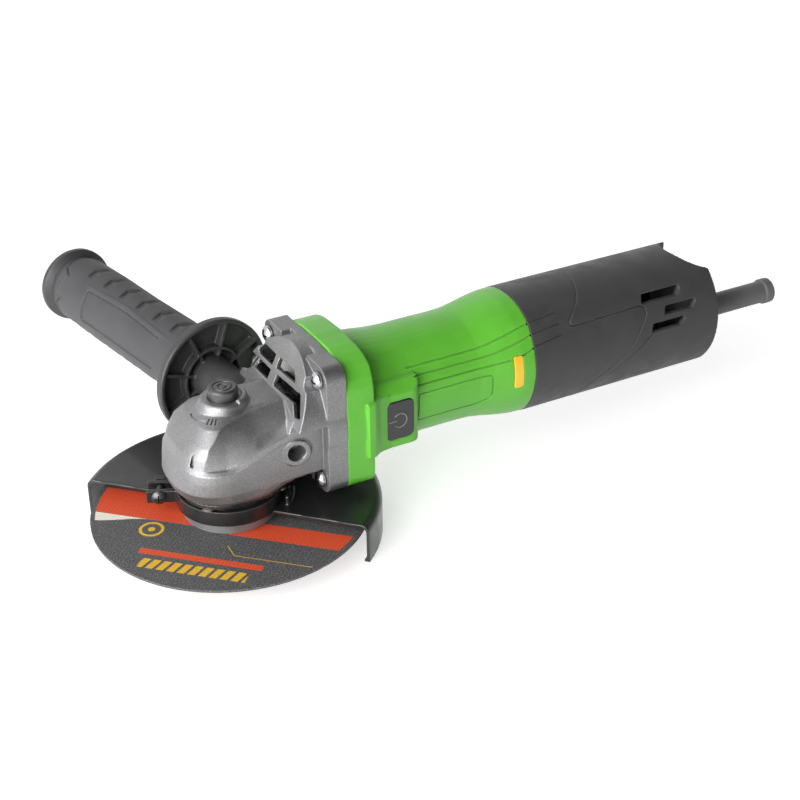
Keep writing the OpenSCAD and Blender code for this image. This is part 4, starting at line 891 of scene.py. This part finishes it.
# ---------- side handle grip: places by mm along the handle and degrees from the top ----------
GRIP_START = 32.55
GRIP_END = 152.95
GRIP_BORE = 10.05
GRIP_STEP = 0.4         # mm along the handle
GRIP_TURNS = 280        # points round it
GRIP_DEEPEST = 2.4      # the deepest relief
SEAM = ((151, 0), (149, 27), (143, 38), (145, 64), (143, 80), (147, 92), (148, 110), (151, 140), (151, 180))
SEAM_DEGREE = 0.24      # mm of skin for one degree of turn
DENT_PITCH = 15.6


def blend_up(value, start, end):
    """0 up to start and 1 from end on, smooth between."""
    t = np.clip((value - start) / (end - start), 0, 1)
    return t * t * (3 - 2 * t)


def seam_distance(along, turn):
    """How far a place lies from the zigzag where the soft grip meets its end, in mm."""
    side = np.abs((turn + 180) % 360 - 180) * SEAM_DEGREE
    nearest = np.full_like(along, 99.0)
    for (s0, t0), (s1, t1) in zip(SEAM, SEAM[1:]):
        run, rise = s1 - s0, (t1 - t0) * SEAM_DEGREE
        share = ((along - s0) * run + (side - t0 * SEAM_DEGREE) * rise) / (run * run + rise * rise)
        share = np.clip(share, 0, 1)
        gap = np.hypot(along - s0 - share * run, side - t0 * SEAM_DEGREE - share * rise)
        nearest = np.minimum(nearest, gap)
    return nearest


def dent(across, behind, length, depth):
    """A dent with a steep front that runs out over its length."""
    return depth * across * np.clip(1 - behind / length, 0, 1) * blend_up(behind, -0.2, 0.7)


def grip_relief(along, turn):
    """How far the grip's skin lies under its full radius, in mm."""
    side = np.abs((turn + 180) % 360 - 180)
    sunk = 2.0 * (1 - blend_up(along, 32.5, 37.0)) * 0.8
    sunk += 0.35 * blend_up(along, 113, 150) + 0.9 * blend_up(along, 149, 153)
    # the side panels, with an outline groove and a ridge above
    upper = 33 + 6 * np.abs(along - 88) / 34
    inside = blend_up(along, 54, 55) * blend_up(-along, -122.4, -121.4)
    inside = inside * blend_up(side, upper, upper + 4) * blend_up(-side, -98, -94)
    sunk += 0.7 * inside + 2.2 * inside * (1 - inside)
    edge = np.abs(side - upper + 5)
    sunk += 0.3
    sunk -= 0.3 * np.clip(1 - edge / 3.5, 0, 1) * blend_up(along, 44, 56) * blend_up(-along, -128, -120)
    # crescent dents on top, longer ones underneath
    crescent = np.clip(1 - ((side - 7) / 16) ** 2, 0, 1)
    lean = (side - 5) * 0.09
    for k in range(6):
        sunk += dent(crescent, 132 - DENT_PITCH * k - lean - along, 6.0, 1.3)
    oval = np.sqrt(np.clip(1 - ((180 - side) / 58) ** 2, 0, 1))
    for k in range(7):
        sunk += dent(oval, 140 - DENT_PITCH * k - along, 7.0, 1.0)
    sunk += 0.9 * np.clip(1 - seam_distance(along, turn) / 0.7, 0, 1)
    return np.clip(sunk, 0, GRIP_DEEPEST)


def make_grip():
    joint = JOINTS["handle_turn"]
    start = Vector(joint["pos_m"])
    axis = Vector(joint["axis"]).normalized()
    up = Vector((0, 0, 1))
    aside = up.cross(axis)
    corner_low, corner_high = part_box("handle_grip")
    radius = (corner_high[2] - corner_low[2]) / 2 / MM
    step = (GRIP_END - GRIP_START) / round((GRIP_END - GRIP_START) / GRIP_STEP)
    stations = np.arange(GRIP_START, GRIP_END + GRIP_STEP / 2, step)
    turns = np.arange(GRIP_TURNS) * 360 / GRIP_TURNS
    along, turn = np.meshgrid(stations, turns, indexing="ij")
    skin = radius - 0.02 - grip_relief(along, turn)
    bore = np.full(GRIP_TURNS, GRIP_BORE)
    points = []
    for row, reach in zip([GRIP_START, *stations, GRIP_END], [bore, *skin, bore]):
        center = start + axis * (row * MM)
        for degrees, out in zip(turns, reach):
            angle = math.radians(degrees)
            points.append(center + (up * math.cos(angle) + aside * math.sin(angle)) * (out * MM))
    mesh = mesh_of("handle_grip_rubber", points, ring_faces(len(stations) + 2, GRIP_TURNS, closed=True))
    piece = add_piece("handle_grip_rubber", mesh, "side_handle", "grip_rubber")
    soften(piece.data)
    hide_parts("handle_grip")


# ---------- small pieces ----------
SMALL_SHELLS = (        # name, node, voxel in mm, rounds of smoothing, share of faces kept
    ("guard_sheet", "guard_shell", 0.4, 3, 0.3),
    ("guard_collar_ring", "guard_collar", 0.35, 3, 0.3),
    ("handle_core_moulding", "handle_core", 0.4, 3, 0.25),
    ("retainer_casting", "bearing_retainer", 0.3, 3, 0.3),
    ("lock_button_cap", "lock_button", 0.16, 3, 0.4),
    ("power_button_cover", "power_button", 0.18, 5, 0.4),
    ("strain_relief_sleeve", "strain_relief", 0.3, 4, 0.3))
SYMBOL_RADIUS = 0.0034      # metres, of the power sign's ring
SYMBOL_LINE = 0.00032       # metres, half the width of its lines
SYMBOL_BAR = (0.0058, 0.0018)   # metres ahead of the middle, where its bar starts and ends


def make_small_shells():
    for name, node, voxel, rounds, keep in SMALL_SHELLS:
        piece = recast(name, node, voxel, rounds, keep)
        soften(piece.data)
        if node == "lock_button":
            coat_piece(piece, "button_steel")


def make_power_symbol():
    """A generic power sign moulded in the button: an open ring and a bar."""
    corner_low, corner_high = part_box("power_button")
    x = (corner_low[0] + corner_high[0]) / 2
    z = (corner_low[2] + corner_high[2]) / 2
    y = corner_low[1]
    ring = [(x + SYMBOL_RADIUS * math.cos(t), y, z + SYMBOL_RADIUS * math.sin(t))
            for t in np.radians(np.arange(-140, 141, 10))]
    points, faces = tube(ring, SYMBOL_LINE)
    bar_points, bar_faces = tube([(x - ahead, y, z) for ahead in SYMBOL_BAR], SYMBOL_LINE)
    faces += [tuple(len(points) + i for i in face) for face in bar_faces]
    mesh = mesh_of("power_symbol", points + bar_points, faces)
    piece = add_piece("power_symbol", mesh, "power_switch_button", "button_cover", "symbol_ink")
    soften(piece.data)


def make_lock_spring():
    """The spring under the lock button, a copy of the CAD piece on the spring's body."""
    piece = add_piece("lock_spring_coil", nodes["lock_spring"].data.copy(), BODY_OF["lock_spring"],
                      SLOT_OF["lock_spring"])
    soften(piece.data)
    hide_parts("lock_spring")
    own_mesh(piece)


make_gear_case()
make_housing()
make_rear()
make_grip()
make_small_shells()
make_power_symbol()
make_lock_spring()


# ---------- stage ----------
WORLD_LIGHT = 0.63      # light from the sides and the floor
WORLD_SHADE = 0.12      # light from the shaded part of the studio
SEEN_SHADE = 0.05       # how bright that part is in a reflection
SHADE_AIM = (0.45, -0.5, 0.74)      # the middle of the shaded part
SHADE_EDGE = (0.15, 0.85)           # how near to the middle it starts, and where it is full
KEY_POWER = 41.0
KEY_PLACE = (-1.12, -0.5, 0.42)
KEY_AIM = (0.05, 0, 0.03)
KEY_SIZE = 1.5
FLOOR_GLOW = 0.6        # lifts the floor to white where the camera or a reflection sees it
FLOOR_SHADE_AIM = (0.67, -0.74)     # where the floor in a reflection fades to grey
FLOOR_SHADE = (0.0, 0.35)           # how far that way the fading starts and ends
FLOOR_SHADED = 0.15     # the glow left where it ends
FLOOR_SIZE = 8.0


def make_world():
    """Soft light, brighter from the left and behind than from above and the front right. Seen in
    a reflection it is a white studio that fades to grey up there, and straight on it is white."""
    world = bpy.data.worlds.new("studio")
    bpy.context.scene.world = world
    world.use_nodes = True
    tree = world.node_tree

    def node(kind, operation=None):
        made = tree.nodes.new("ShaderNode" + kind)
        if operation:
            made.operation = operation
        return made

    aim = node("VectorMath", "DOT_PRODUCT")
    tree.links.new(node("TexCoord").outputs["Generated"], aim.inputs[0])
    aim.inputs[1].default_value = SHADE_AIM

    def sky(light, side, top):
        fade = node("MapRange")
        for socket, value in zip(fade.inputs[1:], (*SHADE_EDGE, side, top)):
            socket.default_value = value
        tree.links.new(aim.outputs["Value"], fade.inputs[0])
        tree.links.new(fade.outputs[0], light.inputs["Strength"])
        light.inputs["Color"].default_value = (1, 1, 1, 1)
        return light.outputs[0]

    path = node("LightPath")
    light = sky(tree.nodes["Background"], WORLD_LIGHT, WORLD_SHADE)
    for kind, shade in (("Is Glossy Ray", SEEN_SHADE), ("Is Transmission Ray", SEEN_SHADE),
                        ("Is Camera Ray", 1.0)):
        mix = node("MixShader")
        tree.links.new(path.outputs[kind], mix.inputs[0])
        tree.links.new(light, mix.inputs[1])
        tree.links.new(sky(node("Background"), 1.0, shade), mix.inputs[2])
        light = mix.outputs[0]
    tree.links.new(light, tree.nodes["World Output"].inputs["Surface"])


def make_floor():
    paint = Paint("floor", 0.8)
    paint.done(grey(0.8))
    shader = paint.shader
    shader.inputs["Emission Color"].default_value = (1, 1, 1, 1)
    path = paint.node("LightPath").outputs
    x, y, _ = paint.axes()
    aside = paint.math("ADD", paint.product(x, FLOOR_SHADE_AIM[0]), paint.product(y, FLOOR_SHADE_AIM[1]))
    mirrored = paint.product(path["Is Glossy Ray"], paint.spread(aside, *FLOOR_SHADE, 1.0, FLOOR_SHADED))
    seen = paint.math("MAXIMUM", path["Is Camera Ray"], mirrored)
    glow = paint.product(paint.math("MAXIMUM", seen, path["Is Transmission Ray"]), FLOOR_GLOW)
    paint.feed(shader.inputs["Emission Strength"], glow)
    bpy.ops.mesh.primitive_plane_add(size=FLOOR_SIZE, location=(0, 0, cad_box[0][2]))
    floor = bpy.context.object
    floor.name = "floor"
    floor.data.materials.append(paint.material)


def add_lamp(name, place, aim, power, size):
    lamp = bpy.data.lights.new(name, "AREA")
    lamp.energy = power
    lamp.size = size
    piece = bpy.data.objects.new(name, lamp)
    piece.location = place
    piece.rotation_euler = (Vector(aim) - Vector(place)).to_track_quat("-Z", "Y").to_euler()
    bpy.context.scene.collection.objects.link(piece)


bpy.context.scene.view_settings.view_transform = "Standard"
make_world()
make_floor()
add_lamp("key", KEY_PLACE, KEY_AIM, KEY_POWER, KEY_SIZE)
